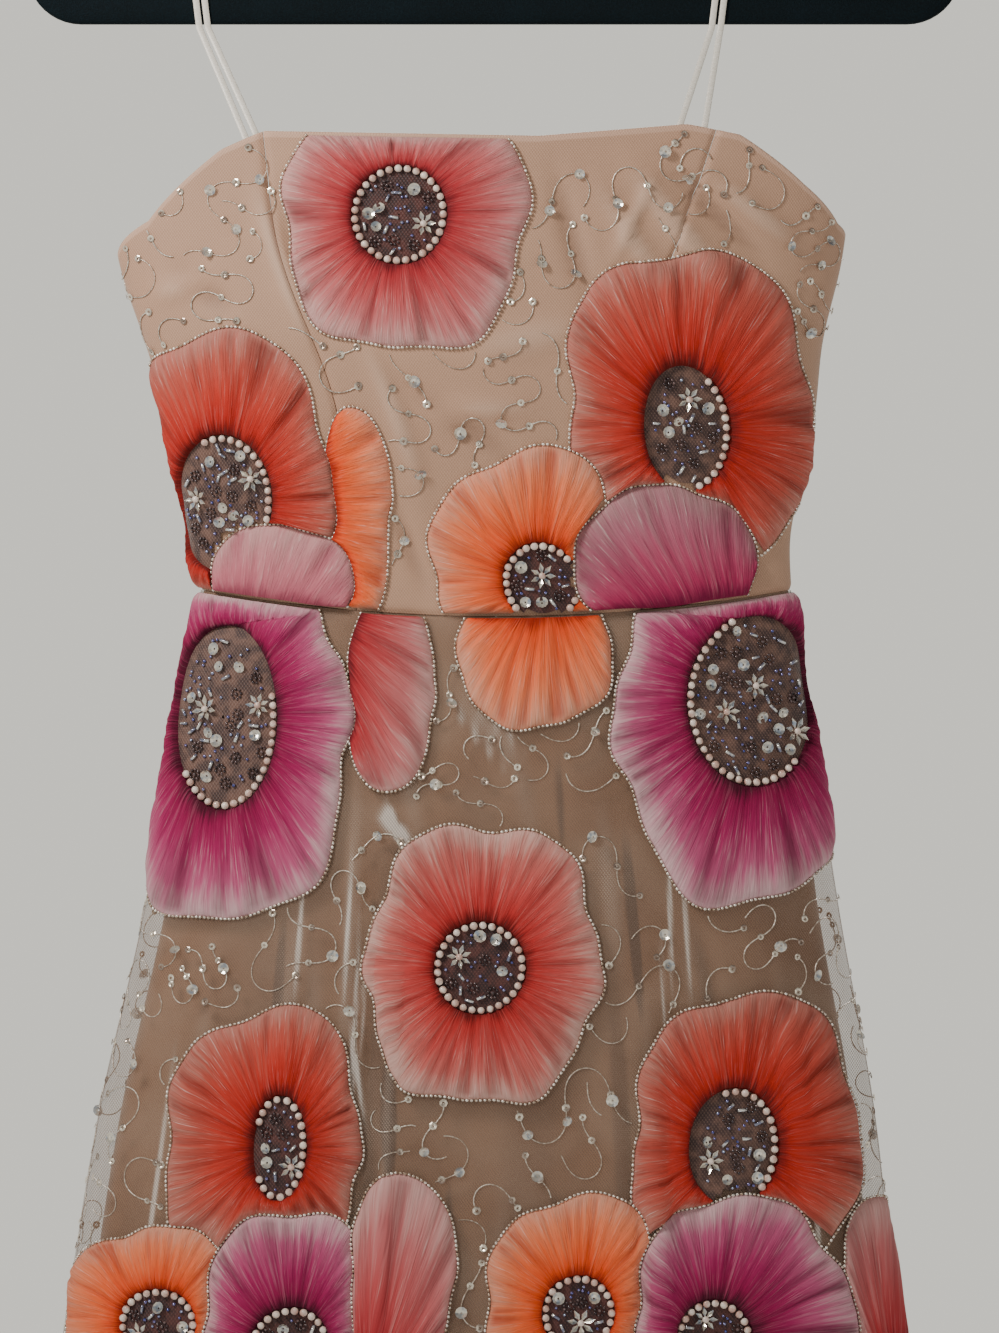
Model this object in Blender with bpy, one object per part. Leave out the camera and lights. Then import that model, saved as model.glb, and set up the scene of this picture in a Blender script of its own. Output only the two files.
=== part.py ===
"""Strapless midi dress that hangs by two satin tapes on a slim clothes hanger.

The origin is the seat of the hanger's hook, where the rail carries it. +Z is up and the
dress faces -Y. A place on the dress is given by its drop below that seat, in metres, and its
angle round the garment in degrees: 0 at centre front, 90 at the side seam at +X, 180 at
centre back and -90 at the side seam at -X.
"""

import math

import bmesh
import bpy
import numpy as np
from mathutils import Vector
from mathutils.bvhtree import BVHTree

# Driving dimensions in metres
WAIST_DROP = 0.4996
WAIST_SAG_FRONT = 0.0128
WAIST_SAG_BACK = 0.0040
HEM_DROP = 1.3050
LINING_HEM_DROP = 1.2850
BODICE_THICK = 0.0020
TULLE_THICK = 0.0010
LINING_THICK = 0.0010
SEAM_GAP = 0.0003

# The lining lies this far inside the tulle at the waist, and this far once it hangs free
LINING_SET_IN = 0.0018
LINING_SET_IN_SIDE = 0.0100
LINING_SET_IN_FRONT = 0.0055
LINING_FREE = 0.1600
LINING_FOLD_SHARE = 0.5

# Degrees between the columns that the skirt's panels and the flowers share
PITCH = 4.5

# The flat tube of the garment: half widths from the hook's line, and depths from the hanger's plane
SECTION_COLUMNS = ("drop", "left", "right", "front", "back")
SECTIONS = (
    (0.2700, 0.1810, 0.1720, 0.0300, 0.0260),
    (0.3438, 0.1786, 0.1655, 0.0360, 0.0280),
    (0.3832, 0.1658, 0.1563, 0.0395, 0.0280),
    (0.4141, 0.1563, 0.1530, 0.0375, 0.0270),
    (0.4426, 0.1492, 0.1477, 0.0335, 0.0260),
    (0.4759, 0.1437, 0.1412, 0.0295, 0.0250),
    (0.4996, 0.1400, 0.1418, 0.0285, 0.0250),
    (0.5424, 0.1468, 0.1454, 0.0330, 0.0300),
    (0.5851, 0.1545, 0.1535, 0.0385, 0.0350),
    (0.6588, 0.1675, 0.1650, 0.0465, 0.0420),
    (0.7418, 0.1860, 0.1795, 0.0540, 0.0480),
    (0.8524, 0.2030, 0.1905, 0.0620, 0.0550),
    (1.0500, 0.2310, 0.2160, 0.0760, 0.0660),
    (1.3200, 0.2640, 0.2450, 0.0920, 0.0800),
)

# The bodice's upper edge
TOP_EDGE_COLUMNS = ("angle", "drop")
TOP_EDGE = (
    (-180.0, 0.3540),
    (-140.0, 0.3520),
    (-110.0, 0.3480),
    (-90.0, 0.3435),
    (-64.0, 0.3262),
    (-44.5, 0.2930),
    (-36.0, 0.2845),
    (-13.0, 0.2860),
    (8.5, 0.2872),
    (33.0, 0.2812),
    (43.5, 0.2860),
    (60.5, 0.3090),
    (76.5, 0.3270),
    (90.0, 0.3330),
    (110.0, 0.3440),
    (140.0, 0.3515),
    (180.0, 0.3540),
)

# The princess seams of the bodice's front
PRINCESS_COLUMNS = ("drop", "left_angle", "right_angle")
PRINCESS = (
    (0.2800, -36.5, 39.0),
    (0.3620, -31.4, 29.9),
    (0.4000, -28.7, 27.2),
    (0.5120, -27.9, 29.4),
)

# Soft folds of the skirt: each is a ridge that starts below the waist and deepens to the hem
FOLD_COLUMNS = ("angle", "spread", "depth", "start", "drift")
FOLDS = (
    (-74.0, 8.0, 0.0130, 0.560, -3.0),
    (-53.0, 8.5, 0.0150, 0.620, -2.0),
    (-31.0, 6.5, 0.0170, 0.570, -1.5),
    (-13.0, 6.0, 0.0120, 0.600, 1.0),
    (5.0, 7.5, 0.0100, 0.720, 2.0),
    (23.0, 6.0, 0.0150, 0.580, 1.5),
    (39.0, 7.0, 0.0130, 0.650, 2.5),
    (58.0, 8.5, 0.0160, 0.600, 2.0),
    (77.0, 8.0, 0.0120, 0.570, 3.0),
    (103.0, 9.0, 0.0140, 0.580, -2.0),
    (126.0, 8.0, 0.0160, 0.630, 2.0),
    (148.0, 7.0, 0.0130, 0.560, -1.5),
    (170.0, 7.5, 0.0150, 0.680, 1.0),
    (-168.0, 7.0, 0.0140, 0.670, -1.0),
    (-145.0, 8.5, 0.0150, 0.590, 2.0),
    (-122.0, 7.5, 0.0120, 0.640, -2.5),
    (-101.0, 8.0, 0.0140, 0.570, 1.5),
)

# How deep a flower stands over the panel that it is sewn to
FLOWER_BASE = 0.0006
FLOWER_DISC_HEIGHT = 0.0022
FLOWER_CREST_HEIGHT = 0.0055
FLOWER_RIM_HEIGHT = 0.0026
FLOWER_CLEARANCE = 0.0010
FLOWER_LEAST = 0.0004
CUTTER_HEIGHT = 0.0140
CUTTER_DEPTH = 0.0020
FLOWER_SHORTEST = 0.0060
SEAT_PROBE = 0.0200
RIM_POWER = 2.3
RIM_MEAN, RIM_LOBE, RIM_RIPPLE = 0.955, 0.045, 0.015
NEAR_SHARE = 1.05

# Gathered chiffon flowers. across is the centre's distance from centre front or back, and the
# four reaches run from the centre to the rim, all in millimetres. A flower lies over those that
# stand above it in the table, which are cut away under it.
FLOWER_COLUMNS = ("name", "zone", "across", "drop", "left", "right", "up", "down", "waves", "phase",
                  "colour")
FLOWERS = (
    ("flower_top_coral", "bodice", -38, 324, 57, 62, 60, 67, 5, 0.4, "coral"),
    ("petal_left_orange", "bodice", -64, 458, 16, 17, 47, 60, 3, 0.8, "orange"),
    ("flower_left_red", "bodice", -129, 459, 60, 56, 85, 60, 5, 1.9, "red"),
    ("petal_left_pale", "bodice", -101, 491, 37, 35, 22, 30, 3, 2.2, "pale"),
    ("flower_right_red", "bodice", 92, 424, 58, 70, 88, 72, 5, 2.6, "red"),
    ("flower_waist_orange", "bodice", 22, 497, 54, 41, 66, 30, 5, 1.2, "orange"),
    ("petal_right_mauve", "bodice", 83, 486, 46, 43, 36, 40, 4, 0.6, "mauve"),
    ("petal_waist_orange", "skirt", 20, 532, 38, 37, 40, 34, 4, 2.9, "orange"),
    ("petal_left_coral", "skirt", -47, 547, 22, 20, 50, 50, 3, 1.5, "coral"),
    ("flower_side_magenta_left", "skirt", -128, 560, 64, 63, 70, 102, 6, 1.1, "magenta"),
    ("flower_side_magenta_right", "skirt", 124, 552, 69, 66, 70, 100, 6, 0.2, "magenta"),
    ("flower_centre_poppy", "skirt", -5, 677, 55, 58, 70, 66, 6, 2.0, "poppy"),
    ("flower_low_red_left", "skirt", -96, 761, 58, 38, 68, 71, 5, 1.4, "red"),
    ("flower_low_red_right", "skirt", 116, 761, 49, 68, 75, 69, 5, 2.4, "red"),
    ("petal_side_coral", "skirt", 192, 822, 22, 34, 36, 44, 3, 2.1, "coral"),
    ("flower_low_orange_left", "skirt", -152, 844, 56, 50, 46, 56, 5, 0.7, "orange"),
    ("flower_low_magenta_left", "skirt", -88, 853, 45, 42, 67, 57, 5, 3.0, "magenta"),
    ("petal_low_coral", "skirt", -37, 816, 25, 25, 46, 56, 3, 1.0, "coral"),
    ("flower_low_orange_right", "skirt", 45, 837, 45, 42, 57, 62, 5, 1.7, "orange"),
    ("flower_low_magenta_right", "skirt", 108, 850, 38, 72, 69, 62, 6, 0.9, "magenta"),
    ("flower_hem_red", "skirt", -148, 968, 66, 60, 60, 64, 5, 0.3, "red"),
    ("flower_hem_coral", "skirt", -14, 950, 58, 60, 64, 60, 6, 1.6, "coral"),
    ("flower_hem_magenta", "skirt", 150, 985, 64, 66, 62, 68, 5, 2.3, "magenta"),
    ("flower_hem_orange", "skirt", 72, 1070, 56, 58, 60, 62, 5, 0.5, "orange"),
    ("flower_hem_poppy", "skirt", -86, 1094, 62, 60, 64, 62, 6, 2.7, "poppy"),
    ("flower_hem_magenta_left", "skirt", -206, 1150, 58, 60, 62, 60, 5, 1.3, "magenta"),
    ("flower_hem_red_right", "skirt", 188, 1152, 62, 60, 66, 64, 5, 0.1, "red"),
    ("flower_hem_orange_low", "skirt", 20, 1212, 60, 62, 58, 60, 6, 2.0, "orange"),
    ("flower_back_red", "bodice_back", -78, 420, 52, 46, 50, 52, 5, 0.9, "red"),
    ("flower_back_coral", "bodice_back", 70, 424, 46, 48, 52, 56, 5, 2.5, "coral"),
    ("flower_back_orange", "skirt_back", -74, 590, 52, 50, 54, 58, 5, 1.8, "orange"),
    ("flower_back_magenta", "skirt_back", 78, 606, 54, 52, 60, 62, 6, 0.4, "magenta"),
    ("flower_back_poppy", "skirt_back", 2, 742, 58, 56, 62, 60, 6, 1.1, "poppy"),
    ("flower_back_low_magenta", "skirt_back", -124, 764, 52, 50, 62, 64, 5, 2.9, "magenta"),
    ("flower_back_low_red", "skirt_back", 126, 778, 54, 54, 60, 62, 5, 0.6, "red"),
    ("flower_back_low_orange", "skirt_back", -66, 896, 56, 58, 58, 62, 5, 2.2, "orange"),
    ("flower_back_low_coral", "skirt_back", 80, 930, 60, 56, 62, 60, 6, 1.5, "coral"),
    ("flower_back_hem_red", "skirt_back", -150, 1020, 60, 58, 64, 62, 5, 0.2, "red"),
    ("flower_back_hem_magenta", "skirt_back", 4, 1064, 60, 60, 62, 66, 5, 1.9, "magenta"),
    ("flower_back_hem_orange", "skirt_back", 156, 1082, 60, 58, 60, 62, 5, 2.8, "orange"),
    ("flower_back_hem_poppy", "skirt_back", -86, 1182, 62, 60, 60, 62, 6, 0.8, "poppy"),
    ("flower_back_hem_coral", "skirt_back", 82, 1204, 58, 60, 60, 58, 5, 1.2, "coral"),
)

# Slim flocked hanger
HANGER_BAR_DROP = 0.2248
HANGER_BAR_HALF = 0.1960
HANGER_END_RADIUS = 0.0200
HANGER_SLOPE = 26.0
HANGER_BAND = 0.0124
HANGER_THICK = 0.0060
HANGER_CHAMFER = 0.0016
HANGER_CROWN_HALF = 0.0120
HANGER_CROWN_RISE = 0.0030
HANGER_CROWN_FLAT = 0.7
HANGER_CROWN_STEP = 0.0012
HANGER_ARM_PLACES = (0.1400, 0.0700, 0.0240)
HANGER_END_STEPS = 9
HOOK_WIRE = 0.00175
HOOK_RADIUS = 0.0218
HOOK_START = -30.0
HOOK_END = 205.0
HOOK_SHANK_TOP = 0.0680
HOOK_LEAD = 0.0120
HOOK_SIDES = 8
HOOK_BEND_STEPS = 7
HOOK_TURN_STEPS = 19

# Satin tapes, one over each arm of the hanger, with both ends sewn inside the bodice
TAPE_WIDTH = 0.0030
TAPE_THICK = 0.0010
TAPE_SEWN = 0.0160
TAPE_EASE = 0.0007
TAPE_EDGE_DEPTH = 0.0010
TAPE_FOOT_DROP = 0.3000
TAPE_BAR_EASE = 0.0020
TAPE_CORNER_DOWN = 0.0012
TAPE_CORNER_IN = 0.0011
TAPE_COLUMNS = ("name", "first_foot", "second_foot", "first_bar", "second_bar", "arm")
TAPES = (
    ("hanging_tape_left", -0.1170, -0.1122, -0.1418, -0.1377, -0.1625),
    ("hanging_tape_right", 0.0985, 0.0865, 0.1095, 0.1053, 0.1309),
)

# Concealed zip at centre back: its slider and the pull tab that swings on the slider's pin
ZIP_DROP = 0.3700
SLIDER_WIDTH = 0.0056
SLIDER_HEIGHT = 0.0100
SLIDER_PLATE = 0.0012
EAR_THICK = 0.0010
EAR_REACH = 0.0015
PIN_RADIUS = 0.0006
PIN_STANDOFF = 0.0030
EYE_RADIUS = 0.0015
EYE_HOLE = 0.00078
EYE_WIDTH = 0.0018
EYE_EASE = 0.0002
EYE_SIDES = 16
PIN_SIDES = 12
NECK_REACH = 0.0030
TAB_SHOULDER_TOP = 0.0018
TAB_SHOULDER_LOW = 0.0070
TAB_END_STEPS = 9
TAB_LENGTH = 0.0190
TAB_WIDTH = 0.0046
TAB_THICK = 0.0010

# Roughness of each finish
CLOTH_ROUGHNESS = 0.7
FLOCK_ROUGHNESS = 0.9
SATIN_ROUGHNESS = 0.35
HOOK_ROUGHNESS = 0.25
ZIP_ROUGHNESS = 0.3

COLOURS = {
    "nude": (0.36, 0.24, 0.175),
    "lining": (0.42, 0.29, 0.21),
    "coral": (0.80, 0.21, 0.17),
    "red": (0.80, 0.10, 0.07),
    "orange": (0.88, 0.26, 0.09),
    "pale": (0.66, 0.34, 0.36),
    "mauve": (0.62, 0.20, 0.32),
    "magenta": (0.55, 0.04, 0.19),
    "poppy": (0.74, 0.13, 0.13),
    "flock": (0.006, 0.018, 0.022),
    "steel": (0.60, 0.60, 0.60),
    "satin": (0.82, 0.80, 0.76),
}


def column(table, names, name):
    """One named column of a table, as an array."""
    place = names.index(name)
    return np.array([row[place] for row in table], dtype=float)


def smooth_curve(xs, ys, x):
    """A smooth curve through the points of a table, held level past its ends."""
    slopes = np.gradient(ys, xs)
    low = np.clip(np.searchsorted(xs, x) - 1, 0, len(xs) - 2)
    step = xs[low + 1] - xs[low]
    t = np.clip((x - xs[low]) / step, 0.0, 1.0)
    start = (1 + 2 * t) * (1 - t) ** 2 * ys[low] + t * (1 - t) ** 2 * step * slopes[low]
    end = t * t * (3 - 2 * t) * ys[low + 1] + t * t * (t - 1) * step * slopes[low + 1]
    return start + end


def section(drop):
    """Middle, half width, front depth and back depth of the garment at a drop."""
    drops = column(SECTIONS, SECTION_COLUMNS, "drop")
    values = [smooth_curve(drops, column(SECTIONS, SECTION_COLUMNS, name), drop)
              for name in SECTION_COLUMNS[1:]]
    left, right, front, back = values
    return (right - left) / 2, (right + left) / 2, front, back


def fold_height(angle, drop):
    """How far the skirt's folds stand out at a place."""
    total = np.zeros_like(angle * drop)
    for centre, spread, depth, start, drift in FOLDS:
        growth = np.clip((drop - start) / (HEM_DROP - start), 0.0, 1.1)
        turn = (angle - centre - drift * growth + 180.0) % 360.0 - 180.0
        total = total + depth * growth ** 1.15 * np.exp(-((turn / spread) ** 2))
    return total


def shell(angle, drop, inset_side=0.0, inset_front=0.0, fold_share=1.0):
    """Points of the garment's outer cloth, or of a layer set in from it."""
    angle, drop = np.broadcast_arrays(np.asarray(angle, float), np.asarray(drop, float))
    middle, half, front, back = section(drop)
    turn = np.radians(angle)
    sine, cosine = np.sin(turn), np.cos(turn)
    half = half - inset_side
    depth = np.where(cosine >= 0, front, back) - inset_front
    across, out = sine / half, -cosine / depth
    length = np.hypot(across, out)
    lift = fold_height(angle, drop) * fold_share
    return np.stack([middle + half * sine + lift * across / length,
                     -depth * cosine + lift * out / length,
                     -drop], axis=-1)


def outer_cloth(angle, drop):
    """The surface of the bodice and of the tulle."""
    return shell(angle, drop)


def lining_cloth(angle, drop):
    """The lining hangs inside the tulle: close at the waist, well clear of it further down."""
    fall = np.clip((np.asarray(drop, float) - WAIST_DROP) / LINING_FREE, 0.0, 1.0)
    ease = fall * fall * (3 - 2 * fall)
    side = LINING_SET_IN + (LINING_SET_IN_SIDE - LINING_SET_IN) * ease
    front = LINING_SET_IN + (LINING_SET_IN_FRONT - LINING_SET_IN) * ease
    return shell(angle, drop, side, front, LINING_FOLD_SHARE)


def moved_out(surface, angle, drop, out):
    """Points of a surface, moved along its outward normal."""
    turn_step, drop_step = 0.05, 0.0005
    across = surface(angle + turn_step, drop) - surface(angle - turn_step, drop)
    down = surface(angle, drop + drop_step) - surface(angle, drop - drop_step)
    normal = np.cross(down, across)
    normal = normal / np.linalg.norm(normal, axis=-1, keepdims=True)
    return surface(angle, drop) + normal * out


def top_edge(angle):
    turn = (np.asarray(angle, float) + 180.0) % 360.0 - 180.0
    angles = column(TOP_EDGE, TOP_EDGE_COLUMNS, "angle")
    return np.interp(turn, angles, column(TOP_EDGE, TOP_EDGE_COLUMNS, "drop"))


def waist_line(angle):
    cosine = np.cos(np.radians(angle))
    sag = np.where(cosine >= 0, WAIST_SAG_FRONT, WAIST_SAG_BACK)
    return WAIST_DROP + sag * cosine * cosine


def waist_above(angle):
    return waist_line(angle) - SEAM_GAP / 2


def waist_below(angle):
    return waist_line(angle) + SEAM_GAP / 2


def tulle_hem(angle):
    return HEM_DROP + 0.0 * np.asarray(angle, float)


def lining_hem(angle):
    return LINING_HEM_DROP + 0.0 * np.asarray(angle, float)


def princess_left(drop):
    drops = column(PRINCESS, PRINCESS_COLUMNS, "drop")
    return smooth_curve(drops, column(PRINCESS, PRINCESS_COLUMNS, "left_angle"), drop)


def princess_right(drop):
    drops = column(PRINCESS, PRINCESS_COLUMNS, "drop")
    return smooth_curve(drops, column(PRINCESS, PRINCESS_COLUMNS, "right_angle"), drop)


def line_at(angle):
    return lambda drop: angle + 0.0 * drop


def material(name, colour, roughness, metallic):
    made = bpy.data.materials.new(name)
    made.use_nodes = True
    shader = made.node_tree.nodes["Principled BSDF"]
    shader.inputs["Base Color"].default_value = (*COLOURS[colour], 1.0)
    shader.inputs["Roughness"].default_value = roughness
    shader.inputs["Metallic"].default_value = metallic
    made.diffuse_color = (*COLOURS[colour], 1.0)
    return made


def add_object(name, bm, colour, roughness=CLOTH_ROUGHNESS, metallic=0.0):
    """Turns a bmesh into a named object whose faces point outwards."""
    bmesh.ops.recalc_face_normals(bm, faces=bm.faces)
    mesh = bpy.data.meshes.new(name)
    bm.to_mesh(mesh)
    bm.free()
    mesh.materials.append(material(name, colour, roughness, metallic))
    made = bpy.data.objects.new(name, mesh)
    bpy.context.collection.objects.link(made)
    return made


def closed_grid(outer, inner):
    """A solid between two grids of points, indexed by column and row, all in triangles."""
    bm = bmesh.new()
    columns, rows = outer.shape[:2]
    front = [[bm.verts.new(outer[k, j]) for j in range(rows)] for k in range(columns)]
    rear = [[bm.verts.new(inner[k, j]) for j in range(rows)] for k in range(columns)]

    def quad(a, b, c, d):
        bm.faces.new((a, b, c))
        bm.faces.new((a, c, d))

    for k in range(columns - 1):
        for j in range(rows - 1):
            quad(front[k][j], front[k][j + 1], front[k + 1][j + 1], front[k + 1][j])
            quad(rear[k][j], rear[k + 1][j], rear[k + 1][j + 1], rear[k][j + 1])
        quad(front[k][0], front[k + 1][0], rear[k + 1][0], rear[k][0])
        quad(front[k][-1], rear[k][-1], rear[k + 1][-1], front[k + 1][-1])
    for j in range(rows - 1):
        quad(front[0][j], rear[0][j], rear[0][j + 1], front[0][j + 1])
        quad(front[-1][j], front[-1][j + 1], rear[-1][j + 1], rear[-1][j])
    return bm


# Rows of the walls, as shares of the way down
BODICE_ROWS = np.linspace(0.0, 1.0, 10)
SKIRT_ROWS = np.array([0.0, 0.05, 0.11, 0.18, 0.27, 0.39, 0.53, 0.68, 0.84, 1.0])
LINING_ROWS = np.array([0.0, 0.08, 0.20, 0.42, 0.70, 1.0])


def panel(name, surface, left, right, top, bottom, thick, columns, rows, colour):
    """A wall of cloth between two seams, a top line and a bottom line."""
    across = np.linspace(0.0, 1.0, columns + 1)[:, None]
    down = rows[None, :]
    guess = 0.5 * (top(0.0) + bottom(0.0)) + 0.0 * across * down
    for _ in range(6):
        angle = left(guess) * (1 - across) + right(guess) * across
        guess = top(angle) * (1 - down) + bottom(angle) * down
    drop = guess
    speed = np.linalg.norm(surface(angle + 0.5, drop) - surface(angle - 0.5, drop), axis=-1)
    angle = angle + SEAM_GAP / 2 / speed * (1 - 2 * across)
    inner = moved_out(surface, angle, drop, -thick)
    return add_object(name, closed_grid(surface(angle, drop), inner), colour)


def make_bodice():
    side_l, side_r, centre_back = line_at(-90.0), line_at(90.0), line_at(180.0)
    table = (
        ("bodice_side_front_left", side_l, princess_left, 7),
        ("bodice_front", princess_left, princess_right, 8),
        ("bodice_side_front_right", princess_right, side_r, 7),
        ("bodice_back_right", side_r, centre_back, 9),
        ("bodice_back_left", centre_back, line_at(270.0), 9),
    )
    for name, left, right, columns in table:
        panel(name, outer_cloth, left, right, top_edge, waist_above, BODICE_THICK, columns,
              BODICE_ROWS, "nude")


def make_skirt():
    spans = (("front", -90.0, 90.0), ("back_right", 90.0, 180.0), ("back_left", 180.0, 270.0))
    for name, start, end in spans:
        columns = round((end - start) / PITCH)
        panel("skirt_tulle_" + name, outer_cloth, line_at(start), line_at(end), waist_below,
              tulle_hem, TULLE_THICK, columns, SKIRT_ROWS, "nude")
        panel("skirt_lining_" + name, lining_cloth, line_at(start), line_at(end), waist_below,
              lining_hem, LINING_THICK, columns // 2, LINING_ROWS, "lining")


def arc_length(angle, drop, origin):
    """Length round the flat tube from centre front or back to an angle, at each drop."""
    steps = np.linspace(0.0, 1.0, 49)
    turn = np.radians(origin + (angle - origin) * steps)[:, None]
    _, half, front, back = section(np.atleast_1d(drop))
    depth = np.where(np.cos(turn) >= 0, front, back)
    speed = np.hypot(half * np.cos(turn), depth * np.sin(turn))
    mean = (speed[1:] + speed[:-1]).sum(axis=0) / 2 / (len(steps) - 1)
    return mean * math.radians(angle - origin)


def angle_at(length, drop, origin):
    """The angle at which that length is reached."""
    low, high = origin - 175.0, origin + 175.0
    for _ in range(40):
        middle = (low + high) / 2
        if arc_length(middle, drop, origin)[0] < length:
            low = middle
        else:
            high = middle
    return (low + high) / 2


class Facets:
    """The panels' outer points and normals on the columns that flowers share with them."""

    def __init__(self, top, bottom, shares):
        angles = np.arange(round(360.0 / PITCH)) * PITCH
        self.rows = top(angles)[:, None] * (1 - shares) + bottom(angles)[:, None] * shares
        turns = angles[:, None] + 0.0 * self.rows
        self.points = outer_cloth(turns, self.rows)
        self.normals = (moved_out(outer_cloth, turns, self.rows, 0.001) - self.points) / 0.001

    def at(self, angle, drop):
        """Point and normal on the faceted panel, between its columns and its rows."""
        low = math.floor(angle / PITCH + 1e-6)
        share = angle / PITCH - low
        point, normal = np.zeros(3), np.zeros(3)
        for place, weight in ((low, 1 - share), (low + 1, share)):
            place = place % len(self.rows)
            rows = self.rows[place]
            j = int(np.clip(np.searchsorted(rows, drop) - 1, 0, len(rows) - 2))
            t = (drop - rows[j]) / (rows[j + 1] - rows[j])
            for total, table in ((point, self.points), (normal, self.normals)):
                total += weight * (table[place, j] * (1 - t) + table[place, j + 1] * t)
        return point, normal / np.linalg.norm(normal)


def seat(lower, normals, panels):
    """Lift of each grid point that keeps every facet of a flower's underside off the panels."""
    lift = np.zeros(lower.shape[:2])
    weights = [(a / 4, b / 4, (4 - a - b) / 4) for a in range(5) for b in range(5 - a)]
    for _ in range(5):
        raised = lower + normals * lift[..., None]
        more = np.zeros_like(lift)
        for k in range(lift.shape[0] - 1):
            for j in range(lift.shape[1] - 1):
                for corners in (((k, j), (k + 1, j), (k + 1, j + 1)),
                                ((k, j), (k + 1, j + 1), (k, j + 1))):
                    for shares in weights:
                        spot = sum(raised[c] * w for c, w in zip(corners, shares))
                        out = sum(normals[c] * w for c, w in zip(corners, shares))
                        out = Vector(out).normalized()
                        start = Vector(spot) + out * SEAT_PROBE
                        hit = panels.ray_cast(start, -out, 2 * SEAT_PROBE)
                        if hit[0] is None:
                            continue
                        short = FLOWER_LEAST - (hit[3] - SEAT_PROBE)
                        for c in corners:
                            more[c] = max(more[c], short)
        if not more.any():
            break
        lift = lift + more
    return lift


class Flower:
    """One gathered flower or petal, laid on the panels of its zone."""

    samples = 601
    shares = np.array([0.0, 0.20, 0.5, 0.80, 1.0])

    def __init__(self, row):
        given = dict(zip(FLOWER_COLUMNS, row))
        self.name, self.colour = given["name"], given["colour"]
        self.back = given["zone"].endswith("_back")
        self.bodice = given["zone"].startswith("bodice")
        self.origin = 180.0 if self.back else 0.0
        self.across = given["across"] / 1000 * (-1 if self.back else 1)
        self.drop = given["drop"] / 1000
        self.reach = [given[side] / 1000 for side in ("left", "right", "up", "down")]
        self.waves, self.phase = given["waves"], given["phase"]
        self.petal = self.name.startswith("petal")
        self.top, self.bottom = (top_edge, waist_above) if self.bodice else (waist_below, tulle_hem)
        self.angle = angle_at(self.across, self.drop, self.origin)
        self.centre = Vector(outer_cloth(np.array(self.angle), np.array(self.drop)))

    def near(self, other):
        """Whether two flowers may meet, also round a side seam."""
        gap = (self.centre - other.centre).length
        return gap < (max(self.reach) + max(other.reach)) * NEAR_SHARE

    def rim(self, turn):
        """Distance from the centre to the rim in a direction, with its soft lobes."""
        left, right, up, down = self.reach
        across = np.where(np.cos(turn) >= 0, right, left)
        along = np.where(np.sin(turn) >= 0, up, down)
        oval = ((np.abs(np.cos(turn)) / across) ** RIM_POWER
                + (np.abs(np.sin(turn)) / along) ** RIM_POWER) ** (-1 / RIM_POWER)
        lobes = np.sin(self.waves * turn + self.phase)
        ripple = np.sin((2 * self.waves + 1) * turn + 2 * self.phase)
        return oval * (RIM_MEAN + RIM_LOBE * lobes + RIM_RIPPLE * ripple)

    def place(self, angle, drop):
        """Distance from the centre and the direction of each drop along one column."""
        across = arc_length(angle, drop, self.origin) - self.across
        rise = self.drop - drop
        return np.hypot(across, rise), np.arctan2(rise, across)

    def span(self, angle):
        """The highest and lowest drop that the flower covers along one column."""
        tall = max(self.reach) * 1.1
        drops = np.linspace(self.drop - tall, self.drop + tall, self.samples)
        distance, turn = self.place(angle, drops)
        edge = FLOWER_CLEARANCE
        inside = distance <= self.rim(turn)
        inside &= (drops >= self.top(angle) + edge) & (drops <= self.bottom(angle) - edge)
        if not inside.any():
            return None
        marks = np.flatnonzero(np.diff(np.concatenate([[0], inside.astype(int), [0]])))
        runs = list(zip(marks[::2], marks[1::2] - 1))
        start, end = max(runs, key=lambda run: run[1] - run[0])
        if drops[end] - drops[start] < FLOWER_SHORTEST:
            return None
        return angle, drops[start], drops[end]

    def columns(self):
        """Columns at the panels' own angles, and one more short of each tip."""
        first = round(self.angle / PITCH)
        found = {}
        for side in (1, -1):
            place = first
            while self.span(place * PITCH):
                found[place * PITCH] = self.span(place * PITCH)
                place += side
            last = found.get((place - side) * PITCH)
            for share in (0.9, 0.75, 0.6, 0.45, 0.3, 0.15):
                tip = self.span((place - side + side * share) * PITCH)
                if last and tip and tip[2] - tip[1] > 0.25 * (last[2] - last[1]):
                    found[tip[0]] = tip
                    break
        return [found[key] for key in sorted(found)]

    def grown_columns(self, by):
        """The columns of an outline that lies that much further out."""
        angles, starts, ends = np.array(self.columns()).T
        arcs = np.array([arc_length(angle, self.drop, self.origin)[0] for angle in angles])
        spread = [by * np.clip(np.hypot(1.0, np.gradient(edge, arcs)), 1.0, 3.0)
                  for edge in (starts, ends)]
        degrees = (angles[-1] - angles[0]) / (arcs[-1] - arcs[0])
        angles[0] -= by * degrees * 1.5
        angles[-1] += by * degrees * 1.5
        return zip(angles, starts - spread[0], ends + spread[1])

    def height(self, angle, drop):
        """Low over the beaded disc, highest where the chiffon is gathered, lower at the rim."""
        distance, turn = self.place(angle, np.array([drop]))
        share = float(distance[0] / self.rim(turn)[0])
        if self.petal:
            crest = math.cos(math.pi / 2 * min(share, 1.0)) ** 0.7
            return FLOWER_RIM_HEIGHT + (FLOWER_CREST_HEIGHT - FLOWER_RIM_HEIGHT) * crest
        stops = (0.0, 0.32, 0.50, 0.72, 1.0)
        heights = (FLOWER_DISC_HEIGHT, FLOWER_DISC_HEIGHT, FLOWER_CREST_HEIGHT,
                   FLOWER_CREST_HEIGHT * 0.9, FLOWER_RIM_HEIGHT)
        return float(np.interp(share, stops, heights))

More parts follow.
